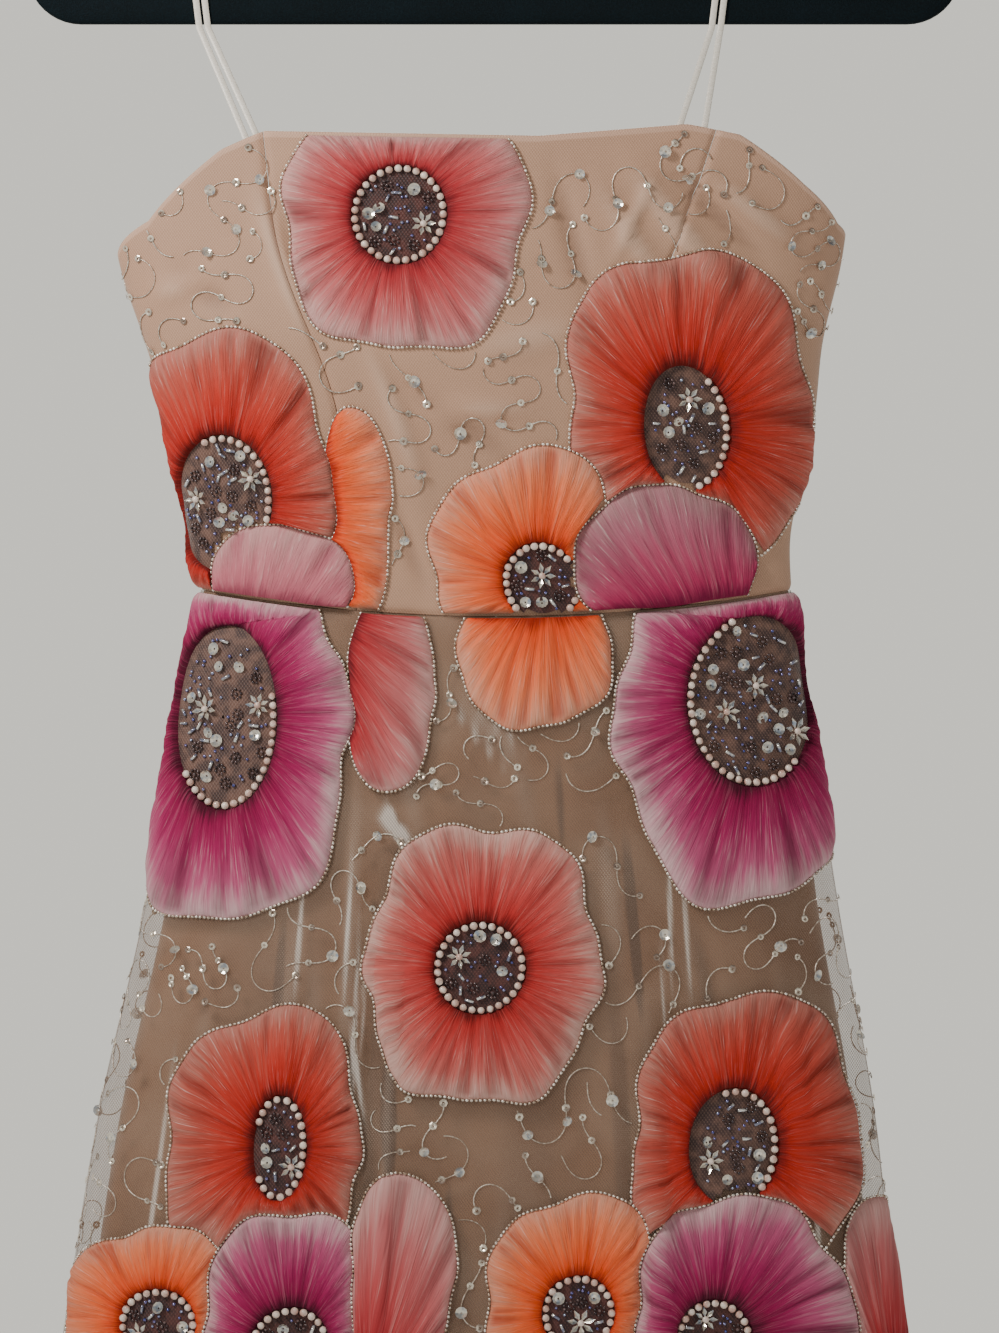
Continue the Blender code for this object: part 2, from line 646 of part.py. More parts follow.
    def solid(self, facets, panels):
        """The flower's own solid, seated on the panels."""
        columns = self.columns()
        shape = (len(columns), len(self.shares))
        points, normals, heights = np.zeros((*shape, 3)), np.zeros((*shape, 3)), np.zeros(shape)
        for k, (angle, start, end) in enumerate(columns):
            for j, drop in enumerate(start + (end - start) * self.shares):
                points[k, j], normals[k, j] = facets.at(angle, drop)
                heights[k, j] = self.height(angle, drop)
        lower = points + normals * FLOWER_BASE
        lift = seat(lower, normals, panels)
        upper = points + normals * (heights + lift)[..., None]
        return closed_grid(upper, lower + normals * lift[..., None])

    def cutter(self, facets):
        """A slightly larger block of the same outline, which cuts the flower beneath."""
        columns = list(self.grown_columns(FLOWER_CLEARANCE))
        shape = (len(columns), len(self.shares), 3)
        upper, lower = np.zeros(shape), np.zeros(shape)
        for k, (angle, start, end) in enumerate(columns):
            for j, drop in enumerate(start + (end - start) * self.shares):
                point, normal = facets.at(angle, drop)
                upper[k, j] = point + normal * CUTTER_HEIGHT
                lower[k, j] = point - normal * CUTTER_DEPTH
        return closed_grid(upper, lower)


def largest_body(mesh):
    """Keeps the largest body of a cut mesh and drops the slivers beside it."""
    bm = bmesh.new()
    bm.from_mesh(mesh)
    bmesh.ops.remove_doubles(bm, verts=bm.verts, dist=1e-6)
    left, bodies = set(bm.verts), []
    while left:
        stack, body = [left.pop()], set()
        while stack:
            vert = stack.pop()
            body.add(vert)
            for edge in vert.link_edges:
                other = edge.other_vert(vert)
                if other in left:
                    left.discard(other)
                    stack.append(other)
        bodies.append(body)
    keep = max(bodies, key=len)
    bmesh.ops.delete(bm, geom=[v for v in bm.verts if v not in keep], context="VERTS")
    bm.to_mesh(mesh)
    bm.free()


def panel_tree():
    """The panels that flowers lie on, ready for finding the distance to them."""
    points, faces = [], []
    for made in bpy.data.objects:
        if made.name.startswith(("bodice_", "skirt_tulle_")):
            first = len(points)
            points += [vert.co.copy() for vert in made.data.vertices]
            faces += [[first + k for k in face.vertices] for face in made.data.polygons]
    return BVHTree.FromPolygons(points, faces)


def make_flowers():
    flowers = [Flower(row) for row in FLOWERS]
    panels = panel_tree()
    tables = {True: Facets(top_edge, waist_above, BODICE_ROWS),
              False: Facets(waist_below, tulle_hem, SKIRT_ROWS)}
    for number, flower in enumerate(flowers):
        facets = tables[flower.bodice]
        made = add_object(flower.name, flower.solid(facets, panels), flower.colour)
        for over in flowers[number + 1:]:
            if over.bodice == flower.bodice and flower.near(over):
                combine(made, add_object("cutter", over.cutter(facets), "nude"), "DIFFERENCE")
        largest_body(made.data)


def combine(whole, other, operation):
    """Applies a boolean to an object and removes the other one."""
    step = whole.modifiers.new("Combine", "BOOLEAN")
    step.operation = operation
    step.solver = "EXACT"
    step.object = other
    bpy.context.view_layer.update()
    seen = whole.evaluated_get(bpy.context.evaluated_depsgraph_get())
    mesh = bpy.data.meshes.new_from_object(seen)
    whole.modifiers.clear()
    whole.data = mesh
    bpy.data.objects.remove(other)


def sweep(points, widths, profile, closed):
    """A solid along a path. widths gives each point's direction across, profile its outline."""
    points = [np.asarray(point, float) for point in points]
    count = len(points)
    bm = bmesh.new()
    rings = []
    for k, point in enumerate(points):
        before = points[k - 1] if closed or k else point
        after = points[(k + 1) % count] if closed or k < count - 1 else point
        along = (after - before) / np.linalg.norm(after - before)
        across = np.asarray(widths[k], float)
        across = across - along * across.dot(along)
        across = across / np.linalg.norm(across)
        side = np.cross(along, across)
        rings.append([bm.verts.new(point + across * u + side * v) for u, v in profile])
    sides = len(profile)
    for k in range(count if closed else count - 1):
        ring, following = rings[k], rings[(k + 1) % count]
        for j in range(sides):
            bm.faces.new((ring[j], ring[(j + 1) % sides],
                          following[(j + 1) % sides], following[j]))
    if not closed:
        bm.faces.new(rings[0])
        bm.faces.new(rings[-1])
    return bm


def round_profile(radius, sides):
    return [(radius * math.cos(2 * math.pi * k / sides), radius * math.sin(2 * math.pi * k / sides))
            for k in range(sides)]


def arm_drop(across):
    """Drop of the middle of the hanger's arm at a distance from the hook's line."""
    slope = math.radians(HANGER_SLOPE)
    end_across = HANGER_BAR_HALF + HANGER_END_RADIUS * math.sin(slope)
    end_drop = HANGER_BAR_DROP - HANGER_END_RADIUS - HANGER_END_RADIUS * math.cos(slope)
    return end_drop - (end_across - abs(across)) * math.tan(slope)


def make_hanger():
    """A flat band bent into the bar, two round ends and two sloping arms."""
    half_path = [(HANGER_BAR_HALF * share, HANGER_BAR_DROP) for share in (0.0, 0.5, 1.0)]
    turn_end = 90.0 - HANGER_SLOPE
    for share in np.linspace(0.0, 1.0, HANGER_END_STEPS)[1:]:
        turn = math.radians(-90.0 + (90.0 + turn_end) * share)
        half_path.append((HANGER_BAR_HALF + HANGER_END_RADIUS * math.cos(turn),
                          HANGER_BAR_DROP - HANGER_END_RADIUS - HANGER_END_RADIUS * math.sin(turn)))
    for across in HANGER_ARM_PLACES:
        half_path.append((across, arm_drop(across)))
    crown = arm_drop(HANGER_CROWN_HALF) - HANGER_CROWN_RISE
    half_path.append((HANGER_CROWN_HALF * HANGER_CROWN_FLAT, crown + HANGER_CROWN_STEP))
    path = half_path + [(0.0, crown)] + [(-x, drop) for x, drop in half_path[:0:-1]]
    points = [(x, 0.0, -drop) for x, drop in path]
    wide, thick, cut = HANGER_BAND / 2, HANGER_THICK / 2, HANGER_CHAMFER
    profile = [(thick, wide - cut), (thick - cut, wide), (cut - thick, wide), (-thick, wide - cut),
               (-thick, cut - wide), (cut - thick, -wide), (thick - cut, -wide), (thick, cut - wide)]
    body = sweep(points, [(0, 1, 0)] * len(points), profile, True)
    add_object("hanger_body", body, "flock", FLOCK_ROUGHNESS)

    centre = -(HOOK_RADIUS - HOOK_WIRE)
    start = math.radians(HOOK_START)
    end = np.array([HOOK_RADIUS * math.cos(start), centre + HOOK_RADIUS * math.sin(start)])
    lead = end - HOOK_LEAD * np.array([-math.sin(start), math.cos(start)])
    foot = np.array([0.0, -HOOK_SHANK_TOP])
    rise = np.array([0.0, -HOOK_SHANK_TOP + HOOK_LEAD])
    shank_foot = -crown + HANGER_BAND / 2 + SEAM_GAP
    route = [np.array([0.0, shank_foot])]
    for t in np.linspace(0.0, 1.0, HOOK_BEND_STEPS):
        route.append((1 - t) ** 3 * foot + 3 * t * (1 - t) ** 2 * rise
                     + 3 * t * t * (1 - t) * lead + t ** 3 * end)
    for turn in np.radians(np.linspace(HOOK_START, HOOK_END, HOOK_TURN_STEPS)[1:]):
        route.append(np.array([HOOK_RADIUS * math.cos(turn), centre + HOOK_RADIUS * math.sin(turn)]))
    points = [(x, 0.0, z) for x, z in route]
    wire = round_profile(HOOK_WIRE, HOOK_SIDES)
    hook = sweep(points, [(0, 1, 0)] * len(points), wire, False)
    add_object("hanger_hook", hook, "steel", HOOK_ROUGHNESS, 1.0)


def make_tapes():
    """Each tape runs up in front of the bar, over the arm, and back down through the hanger."""
    face = HANGER_THICK / 2 + SEAM_GAP + TAPE_THICK / 2
    bar_low = HANGER_BAR_DROP + HANGER_BAND / 2 + TAPE_BAR_EASE
    bar_high = HANGER_BAR_DROP - HANGER_BAND / 2 - TAPE_BAR_EASE
    for name, first_foot, second_foot, first_bar, second_bar, arm in TAPES:
        sewn = []
        for foot in (first_foot, second_foot):
            middle, half, _, _ = section(TAPE_FOOT_DROP)
            angle = np.array([math.degrees(math.asin((foot - middle) / half))])
            edge = top_edge(angle)
            inside = -(BODICE_THICK + TAPE_EASE + TAPE_THICK / 2)
            sewn.append([moved_out(outer_cloth, angle, edge + depth, inside)[0]
                         for depth in (TAPE_SEWN, TAPE_EDGE_DEPTH)])
        slope = math.radians(HANGER_SLOPE)
        reach = HANGER_BAND / 2 / math.cos(slope)
        top = -arm_drop(arm) + reach + (SEAM_GAP + TAPE_THICK / 2) / math.cos(slope)
        low = -arm_drop(arm) - reach - TAPE_BAR_EASE
        side = 1.0 if arm > 0 else -1.0
        lie = (math.cos(slope), 0.0, -side * math.sin(slope))
        level = (1.0, 0.0, 0.0)
        route = [
            (sewn[0][0], level),
            (sewn[0][1], level),
            ((first_bar - side * TAPE_BAR_EASE, -face, -bar_low), level),
            ((first_bar, -face, -bar_high), level),
            ((arm, -face, low), lie),
            ((arm, -face, top - TAPE_CORNER_DOWN), lie),
            ((arm, -face + TAPE_CORNER_IN, top), lie),
            ((arm, face - TAPE_CORNER_IN, top), lie),
            ((arm, face, top - TAPE_CORNER_DOWN), lie),
            ((arm, face, low), lie),
            ((second_bar, -face, -bar_high), level),
            ((second_bar - side * TAPE_BAR_EASE, -face, -bar_low), level),
            (sewn[1][1], level),
            (sewn[1][0], level),
        ]
        half, thin = TAPE_WIDTH / 2, TAPE_THICK / 2
        profile = [(-half, -thin), (half, -thin), (half, thin), (-half, thin)]
        bm = sweep([point for point, _ in route], [width for _, width in route], profile, False)
        add_object(name, bm, "satin", SATIN_ROUGHNESS)


def box(bm, low, high):
    """Adds an axis-aligned box to a bmesh."""
    made = bmesh.ops.create_cube(bm, size=1.0)["verts"]
    size = [high[k] - low[k] for k in range(3)]
    bmesh.ops.scale(bm, vec=size, verts=made)
    bmesh.ops.translate(bm, vec=[(high[k] + low[k]) / 2 for k in range(3)], verts=made)


def make_zip():
    """Slider with two ears and a pin at centre back, and the pull tab that hangs on the pin."""
    seam = outer_cloth(np.array([180.0]), np.array([ZIP_DROP]))[0]
    face = float(seam[1]) + SEAM_GAP
    middle = float(seam[0])
    z = -ZIP_DROP
    ear_from = EYE_WIDTH / 2 + EYE_EASE
    pin_y = face + PIN_STANDOFF
    parts = []
    plate = bmesh.new()
    box(plate, (middle - SLIDER_WIDTH / 2, face, z - SLIDER_HEIGHT / 2),
        (middle + SLIDER_WIDTH / 2, face + SLIDER_PLATE, z + SLIDER_HEIGHT / 2))
    parts.append(plate)
    for side in (-1, 1):
        ear = bmesh.new()
        near, far = side * ear_from, side * (ear_from + EAR_THICK)
        box(ear, (middle + min(near, far), face + SLIDER_PLATE / 2, z - EAR_REACH),
            (middle + max(near, far), pin_y + EAR_REACH, z + EAR_REACH))
        parts.append(ear)
    reach = ear_from + EAR_THICK / 2
    pin = sweep([(middle - reach, pin_y, z), (middle + reach, pin_y, z)], [(0, 1, 0)] * 2,
                round_profile(PIN_RADIUS, PIN_SIDES), False)
    parts.append(pin)
    join_parts("zip_slider", parts)

    parts = []
    ring = bmesh.new()
    loops = []
    for x in (-EYE_WIDTH / 2, EYE_WIDTH / 2):
        for radius in (EYE_RADIUS, EYE_HOLE):
            loops.append([ring.verts.new((middle + x, pin_y + u, z + v))
                          for u, v in round_profile(radius, EYE_SIDES)])
    for first, second in ((0, 1), (1, 3), (3, 2), (2, 0)):
        for k in range(EYE_SIDES):
            ring.faces.new((loops[first][k], loops[first][(k + 1) % EYE_SIDES],
                            loops[second][(k + 1) % EYE_SIDES], loops[second][k]))
    parts.append(ring)
    neck = bmesh.new()
    box(neck, (middle - EYE_WIDTH / 2, pin_y - TAB_THICK / 2, z - EYE_RADIUS - NECK_REACH),
        (middle + EYE_WIDTH / 2, pin_y + TAB_THICK / 2, z - (EYE_RADIUS + EYE_HOLE) / 2))
    parts.append(neck)
    shoulder = -EYE_RADIUS - TAB_SHOULDER_TOP
    outline = [(-EYE_WIDTH / 2, shoulder), (-TAB_WIDTH / 2, -TAB_SHOULDER_LOW)]
    bottom = -TAB_LENGTH + TAB_WIDTH / 2
    for turn in np.linspace(math.pi, 2 * math.pi, TAB_END_STEPS):
        outline.append((TAB_WIDTH / 2 * math.cos(turn), bottom + TAB_WIDTH / 2 * math.sin(turn)))
    outline += [(TAB_WIDTH / 2, -TAB_SHOULDER_LOW), (EYE_WIDTH / 2, shoulder)]
    tab = bmesh.new()
    rims = [[tab.verts.new((middle + u, pin_y + y, z + v)) for u, v in outline]
            for y in (-TAB_THICK / 2, TAB_THICK / 2)]
    tab.faces.new(rims[0])
    tab.faces.new(rims[1])
    for k in range(len(outline)):
        following = (k + 1) % len(outline)
        tab.faces.new((rims[0][k], rims[0][following], rims[1][following], rims[1][k]))
    parts.append(tab)
    join_parts("zip_pull", parts)


def join_parts(name, parts):
    """Fuses overlapping simple solids into one."""
    whole = add_object(name, parts[0], "steel", ZIP_ROUGHNESS, 1.0)
    for part in parts[1:]:
        other = add_object(name + "_part", part, "steel", ZIP_ROUGHNESS, 1.0)
        combine(whole, other, "UNION")


def main():
    for old in list(bpy.data.objects):
        bpy.data.objects.remove(old)
    make_bodice()
    make_skirt()
    make_flowers()
    make_hanger()
    make_tapes()
    make_zip()


main()
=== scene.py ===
import math

import bmesh
import bpy
import numpy as np
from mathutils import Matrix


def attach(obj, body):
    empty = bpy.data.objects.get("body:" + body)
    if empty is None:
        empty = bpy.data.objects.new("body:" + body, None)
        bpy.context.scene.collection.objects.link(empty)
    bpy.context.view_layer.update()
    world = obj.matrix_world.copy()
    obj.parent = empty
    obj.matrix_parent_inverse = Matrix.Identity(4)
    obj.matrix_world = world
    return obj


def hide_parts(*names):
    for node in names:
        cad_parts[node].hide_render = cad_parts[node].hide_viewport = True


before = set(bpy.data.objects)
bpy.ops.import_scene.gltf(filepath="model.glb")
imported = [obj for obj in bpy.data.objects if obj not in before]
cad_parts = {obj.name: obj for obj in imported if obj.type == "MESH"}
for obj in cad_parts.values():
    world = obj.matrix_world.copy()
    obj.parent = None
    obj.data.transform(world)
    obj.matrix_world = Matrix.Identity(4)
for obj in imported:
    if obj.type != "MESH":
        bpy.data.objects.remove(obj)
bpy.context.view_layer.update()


# View, floor and light: a long lens level with the dress, a pale floor well below the hem, and
# soft light from above the front, with a pale room all round.
CAMERA_AWAY = 3.0
PICTURE_MIDDLE = (0.0026, -0.5360)
PICTURE_HEIGHT = 0.6332
SENSOR_WIDTH = 36.0
FLOOR_Z, FLOOR_HALF = -1.75, 7.5
FLOOR_COLOUR, FLOOR_GLOW, FLOOR_GLOW_LEVEL = (0.78, 0.78, 0.76), (0.80, 0.80, 0.78), 0.52
# The room is bright where it is seen level with the dress and dim above and below
ROOM_LEVEL, ROOM_DIM = (0.84, 0.82, 0.745), (0.08, 0.08, 0.085)
ROOM_EDGE = (0.24, 0.42)
# Name, place, the place it is aimed at, size, power and colour
LAMPS = (
    ("key", (-0.70, -0.64, 0.20), (-0.02, 0.0, -0.42), 0.34, 12.0, (1.0, 0.97, 0.93)),
    ("fill", (1.2, -1.8, -0.3), (0.0, 0.0, -0.75), 1.2, 1.6, (0.95, 0.97, 1.0)),
    ("rear", (0.1, 1.25, 0.30), (0.0, 0.0, -0.60), 0.6, 15.0, (1.0, 0.98, 0.95)),
)

lens = bpy.data.cameras.new("camera")
lens.sensor_width = SENSOR_WIDTH
lens.lens = SENSOR_WIDTH * CAMERA_AWAY / PICTURE_HEIGHT
camera = bpy.data.objects.new("camera", lens)
camera.location = (PICTURE_MIDDLE[0], -CAMERA_AWAY, PICTURE_MIDDLE[1])
camera.rotation_euler = (math.pi / 2, 0.0, 0.0)
bpy.context.collection.objects.link(camera)
bpy.context.scene.camera = camera

room = bpy.data.worlds.new("room")
room.use_nodes = True
room_nodes, room_links = room.node_tree.nodes, room.node_tree.links
room_parts = [room_nodes.new("ShaderNode" + kind) for kind in
              ("TexCoord", "SeparateXYZ", "Math", "MapRange", "Mix")]
room_way, room_split, room_height, room_share, room_mix = room_parts
room_height.operation, room_share.interpolation_type = "ABSOLUTE", "SMOOTHSTEP"
room_share.inputs["From Min"].default_value, room_share.inputs["From Max"].default_value = ROOM_EDGE
room_mix.data_type = "RGBA"
room_mix.inputs[6].default_value = (*ROOM_LEVEL, 1.0)
room_mix.inputs[7].default_value = (*ROOM_DIM, 1.0)
room_links.new(room_way.outputs["Generated"], room_split.inputs[0])
room_links.new(room_split.outputs["Z"], room_height.inputs[0])
room_links.new(room_height.outputs[0], room_share.inputs["Value"])
room_links.new(room_share.outputs[0], room_mix.inputs[0])
room_links.new(room_mix.outputs[2], room_nodes["Background"].inputs["Color"])
bpy.context.scene.world = room

for lamp_name, lamp_place, lamp_aim, lamp_size, lamp_power, lamp_colour in LAMPS:
    lamp = bpy.data.lights.new(lamp_name, "AREA")
    lamp.shape, lamp.size = "DISK", lamp_size
    lamp.energy, lamp.color = lamp_power, lamp_colour
    lamp_object = bpy.data.objects.new(lamp_name, lamp)
    lamp_object.location = lamp_place
    toward = np.array(lamp_aim) - np.array(lamp_place)
    lamp_object.rotation_euler = (math.atan2(math.hypot(toward[0], toward[1]), -toward[2]), 0.0,
                                  math.atan2(toward[1], toward[0]) - math.pi / 2)
    bpy.context.collection.objects.link(lamp_object)

floor_mesh = bpy.data.meshes.new("floor")
floor_mesh.from_pydata([(x * FLOOR_HALF, y * FLOOR_HALF, FLOOR_Z)
                        for x, y in ((-1, -1), (1, -1), (1, 1), (-1, 1))], [], [(0, 1, 2, 3)])
floor = bpy.data.objects.new("floor", floor_mesh)
bpy.context.collection.objects.link(floor)
floor_paint = bpy.data.materials.new("floor_paint")
floor_paint.use_nodes = True
floor_inputs = floor_paint.node_tree.nodes["Principled BSDF"].inputs
floor_inputs["Base Color"].default_value = (*FLOOR_COLOUR, 1.0)
floor_inputs["Roughness"].default_value = 0.9
floor_inputs["Emission Color"].default_value = (*FLOOR_GLOW, 1.0)
floor_inputs["Emission Strength"].default_value = FLOOR_GLOW_LEVEL
floor_mesh.materials.append(floor_paint)


# Bodice: five boned panels of nude satin under fine diagonal net, seamed at the princess lines,
# the sides and centre back, where a concealed zip closes it. Its upper edge is turned over.
WAIST_DROP, WAIST_SAG_FRONT, WAIST_SAG_BACK = 0.4996, 0.0128, 0.0040
HEM_DROP = 1.3050
SEAM_GAP = 0.0003
BODICE_THICK = 0.0020
SEAM_DIP, SEAM_DIP_WIDE = 0.0010, 0.0016
# Faces are about one step wide and crowd in near the seams
BODICE_STEP, BODICE_ROWS, BODICE_LONG, BODICE_NEAR = 0.0024, 50, 0.19, 0.0016
FOLD_POWER, FOLD_MOST = 1.15, 1.1
# Drop, half width to the left and right of the hook's line, and depth in front and behind
SECTIONS = np.array((
    (0.2700, 0.1810, 0.1720, 0.0300, 0.0260), (0.3438, 0.1786, 0.1655, 0.0360, 0.0280),
    (0.3832, 0.1658, 0.1563, 0.0395, 0.0280), (0.4141, 0.1563, 0.1530, 0.0375, 0.0270),
    (0.4426, 0.1492, 0.1477, 0.0335, 0.0260), (0.4759, 0.1437, 0.1412, 0.0295, 0.0250),
    (0.4996, 0.1400, 0.1418, 0.0285, 0.0250), (0.5424, 0.1468, 0.1454, 0.0330, 0.0300),
    (0.5851, 0.1545, 0.1535, 0.0385, 0.0350), (0.6588, 0.1675, 0.1650, 0.0465, 0.0420),
    (0.7418, 0.1860, 0.1795, 0.0540, 0.0480), (0.8524, 0.2030, 0.1905, 0.0620, 0.0550),
    (1.0500, 0.2310, 0.2160, 0.0760, 0.0660), (1.3200, 0.2640, 0.2450, 0.0920, 0.0800)))
# Angle and drop of the upper edge
TOP_EDGE = np.array((
    (-180.0, 0.3540), (-140.0, 0.3520), (-110.0, 0.3480), (-90.0, 0.3435), (-64.0, 0.3262),
    (-44.5, 0.2930), (-36.0, 0.2845), (-13.0, 0.2860), (8.5, 0.2872), (33.0, 0.2812),
    (43.5, 0.2860), (60.5, 0.3090), (76.5, 0.3270), (90.0, 0.3330), (110.0, 0.3440),
    (140.0, 0.3515), (180.0, 0.3540)))
# Drop, and the angles of the left and right princess seams
PRINCESS = np.array(((0.2800, -36.5, 39.0), (0.3620, -31.4, 29.9), (0.4000, -28.7, 27.2),
                     (0.5120, -27.9, 29.4)))
# Skirt folds: angle, spread, depth, the drop where each starts, and its drift in degrees
FOLDS = np.array((
    (-74.0, 8.0, 0.0130, 0.560, -3.0), (-53.0, 8.5, 0.0150, 0.620, -2.0),
    (-31.0, 6.5, 0.0170, 0.570, -1.5), (-13.0, 6.0, 0.0120, 0.600, 1.0),
    (5.0, 7.5, 0.0100, 0.720, 2.0), (23.0, 6.0, 0.0150, 0.580, 1.5),
    (39.0, 7.0, 0.0130, 0.650, 2.5), (58.0, 8.5, 0.0160, 0.600, 2.0),
    (77.0, 8.0, 0.0120, 0.570, 3.0), (103.0, 9.0, 0.0140, 0.580, -2.0),
    (126.0, 8.0, 0.0160, 0.630, 2.0), (148.0, 7.0, 0.0130, 0.560, -1.5),
    (170.0, 7.5, 0.0150, 0.680, 1.0), (-168.0, 7.0, 0.0140, 0.670, -1.0),
    (-145.0, 8.5, 0.0150, 0.590, 2.0), (-122.0, 7.5, 0.0120, 0.640, -2.5),
    (-101.0, 8.0, 0.0140, 0.570, 1.5)))
# The bodice's creases stand out more than their table says: those that end above a drop in mm
BODICE_CREASE, BODICE_CREASE_DROP = 2.6, 525
CREASE_FADE = 1.5
# Creases: distance from centre front or back and drop at both ends, half width and height, in mm.
# A negative height is a trough.
FRONT_CREASES = (
    (-110, 298, -78, 396, 5.0, 1.3), (-99, 300, -70, 398, 4.5, -0.8), (62, 292, 128, 372, 5.0, 1.6),
    (78, 292, 142, 350, 4.0, -1.3), (48, 300, 96, 372, 4.5, 1.1), (100, 300, 158, 342, 4.5, 1.2),
    (30, 290, 56, 378, 5.0, -1.0), (-20, 392, 62, 372, 8.0, 0.9), (-44, 402, 20, 446, 6.0, -1.0),
    (-40, 420, 30, 412, 5.0, 0.9), (-60, 372, -28, 470, 5.0, 1.0), (-152, 346, -112, 372, 6.0, -1.0),
    (-164, 362, -120, 352, 5.0, 1.0), (-8, 440, 14, 500, 4.5, 0.8), (-48, 452, -30, 508, 4.0, -0.8),
    (60, 352, 84, 300, 3.0, 0.8), (-150, 520, -60, 508, 4.0, -1.0), (50, 508, 140, 516, 4.0, -1.0),
    (-50, 530, -30, 640, 5.0, 1.5), (-62, 560, -70, 760, 4.0, 2.0), (-52, 600, -58, 860, 3.5, -2.4),
    (-44, 610, -48, 900, 2.6, 1.9), (0, 540, 26, 640, 6.0, 1.2), (48, 580, 66, 720, 5.0, 1.8),
    (58, 640, 78, 880, 4.5, -2.2), (70, 650, 92, 960, 4.0, 2.0), (-90, 640, -100, 760, 5.0, 1.6),
    (-130, 660, -150, 840, 5.0, 1.8), (96, 640, 120, 730, 4.0, -1.5), (132, 650, 160, 820, 4.5, 1.8),
    (10, 740, 6, 980, 5.0, 1.8), (30, 780, 40, 1080, 4.5, -2.0), (-24, 880, -30, 1160, 5.0, 2.0),
    (100, 900, 128, 1240, 6.0, 2.2), (-120, 900, -150, 1250, 6.0, 2.2), (60, 960, 72, 1290, 5.0, -2.0))
BACK_CREASES = (
    (-96, 360, -60, 430, 6.0, 1.2), (70, 358, 108, 420, 5.0, -1.1), (-30, 362, -8, 440, 5.0, 0.9),
    (20, 400, 66, 452, 5.0, 1.0), (-70, 452, -20, 486, 5.0, -0.9), (110, 380, 138, 440, 4.5, 1.1),
    (-128, 376, -100, 440, 4.5, -1.0), (12, 440, 4, 492, 4.0, 0.9), (-40, 520, -58, 700, 5.0, 1.7),
    (36, 520, 48, 690, 4.5, -1.6), (90, 540, 120, 800, 5.0, 1.9), (-100, 540, -128, 760, 5.0, -1.8),
    (0, 620, -8, 900, 5.5, 1.8), (60, 720, 80, 1040, 5.0, 2.0), (-64, 780, -86, 1120, 5.0, -2.1),
    (130, 820, 160, 1200, 6.0, 2.2), (-140, 860, -176, 1240, 6.0, 2.1), (24, 900, 30, 1260, 5.0, -1.9))


def smooth_curve(xs, ys, x):
    """A smooth curve through the points of a table, held level past its ends."""
    slopes = np.gradient(ys, xs)
    low = np.clip(np.searchsorted(xs, x) - 1, 0, len(xs) - 2)
    step = xs[low + 1] - xs[low]
    t = np.clip((x - xs[low]) / step, 0.0, 1.0)
    start = (1 + 2 * t) * (1 - t) ** 2 * ys[low] + t * (1 - t) ** 2 * step * slopes[low]
    end = t * t * (3 - 2 * t) * ys[low + 1] + t * t * (t - 1) * step * slopes[low + 1]
    return start + end


def section(drop):
    """Middle, half width, front depth and back depth of the garment at a drop."""
    left, right, front, back = (smooth_curve(SECTIONS[:, 0], SECTIONS[:, k], drop)
                                for k in range(1, 5))
    return (right - left) / 2, (right + left) / 2, front, back


def between(table, rows, columns, row, column):
    """Values of a table between its evenly spaced rows and columns."""
    r = np.clip((row - rows[0]) / (rows[1] - rows[0]), 0.0, len(rows) - 1.001)
    c = np.clip((column - columns[0]) / (columns[1] - columns[0]), 0.0, len(columns) - 1.001)
    i, j = r.astype(int), c.astype(int)
    r, c = r - i, c - j
    return ((1 - r) * ((1 - c) * table[i, j] + c * table[i, j + 1])
            + r * ((1 - c) * table[i + 1, j] + c * table[i + 1, j + 1]))


class Lay:
    """Distances round the flat tube from centre front or centre back."""

    drops = np.linspace(0.265, 1.325, 213)
    turns = np.linspace(-179.0, 179.0, 717)
    reach = np.linspace(-0.60, 0.60, 1201)

    def __init__(self, origin, creases):
        self.origin, self.creases = origin, creases
        turn = np.radians(origin + self.turns)[None, :]
        _, half, front, back = section(self.drops[:, None])
        depth = np.where(np.cos(turn) >= 0, front, back)
        speed = np.hypot(half * np.cos(turn), depth * np.sin(turn))
        steps = (speed[:, 1:] + speed[:, :-1]) / 2 * math.radians(self.turns[1] - self.turns[0])
        run = np.concatenate([np.zeros((len(self.drops), 1)), np.cumsum(steps, axis=1)], axis=1)
        self.lengths = run - run[:, [len(self.turns) // 2]]
        self.angles = np.array([np.interp(self.reach, row, self.turns) for row in self.lengths])

    def length(self, angle, drop):
        """Distance round the garment of an angle."""
        turn = (angle - self.origin + 180.0) % 360.0 - 180.0
        return between(self.lengths, self.drops, self.turns, drop, turn)

    def angle(self, across, drop):
        """Angle of a distance round the garment."""
        return self.origin + between(self.angles, self.drops, self.reach, drop, across)

    def crease_height(self, angle, drop, rows=None):
        """How far the soft creases of this side stand out, those of the bodice the most."""
        across, down, total = self.length(angle, drop) * 1000, drop * 1000, 0.0
        for from_x, from_drop, to_x, to_drop, wide, high in rows or self.creases:
            run_x, run_drop = to_x - from_x, to_drop - from_drop
            square = run_x ** 2 + run_drop ** 2
            along = ((across - from_x) * run_x + (down - from_drop) * run_drop) / square
            aside = ((across - from_x) * run_drop - (down - from_drop) * run_x) / square ** 0.5
            fade = np.sin(np.pi * np.clip(along, 0.0, 1.0)) ** CREASE_FADE
            share = BODICE_CREASE if max(from_drop, to_drop) < BODICE_CREASE_DROP else 1.0
            total = total + share * high / 1000 * fade * np.exp(-((aside / wide) ** 2))
        return total


FRONT, BACK = Lay(0.0, FRONT_CREASES), Lay(180.0, BACK_CREASES)


def crease_heights(angle, drop, front_rows=None, back_rows=None):
    """How far the creases of both sides stand out."""
    return (FRONT.crease_height(angle, drop, front_rows)
            + BACK.crease_height(angle, drop, back_rows))


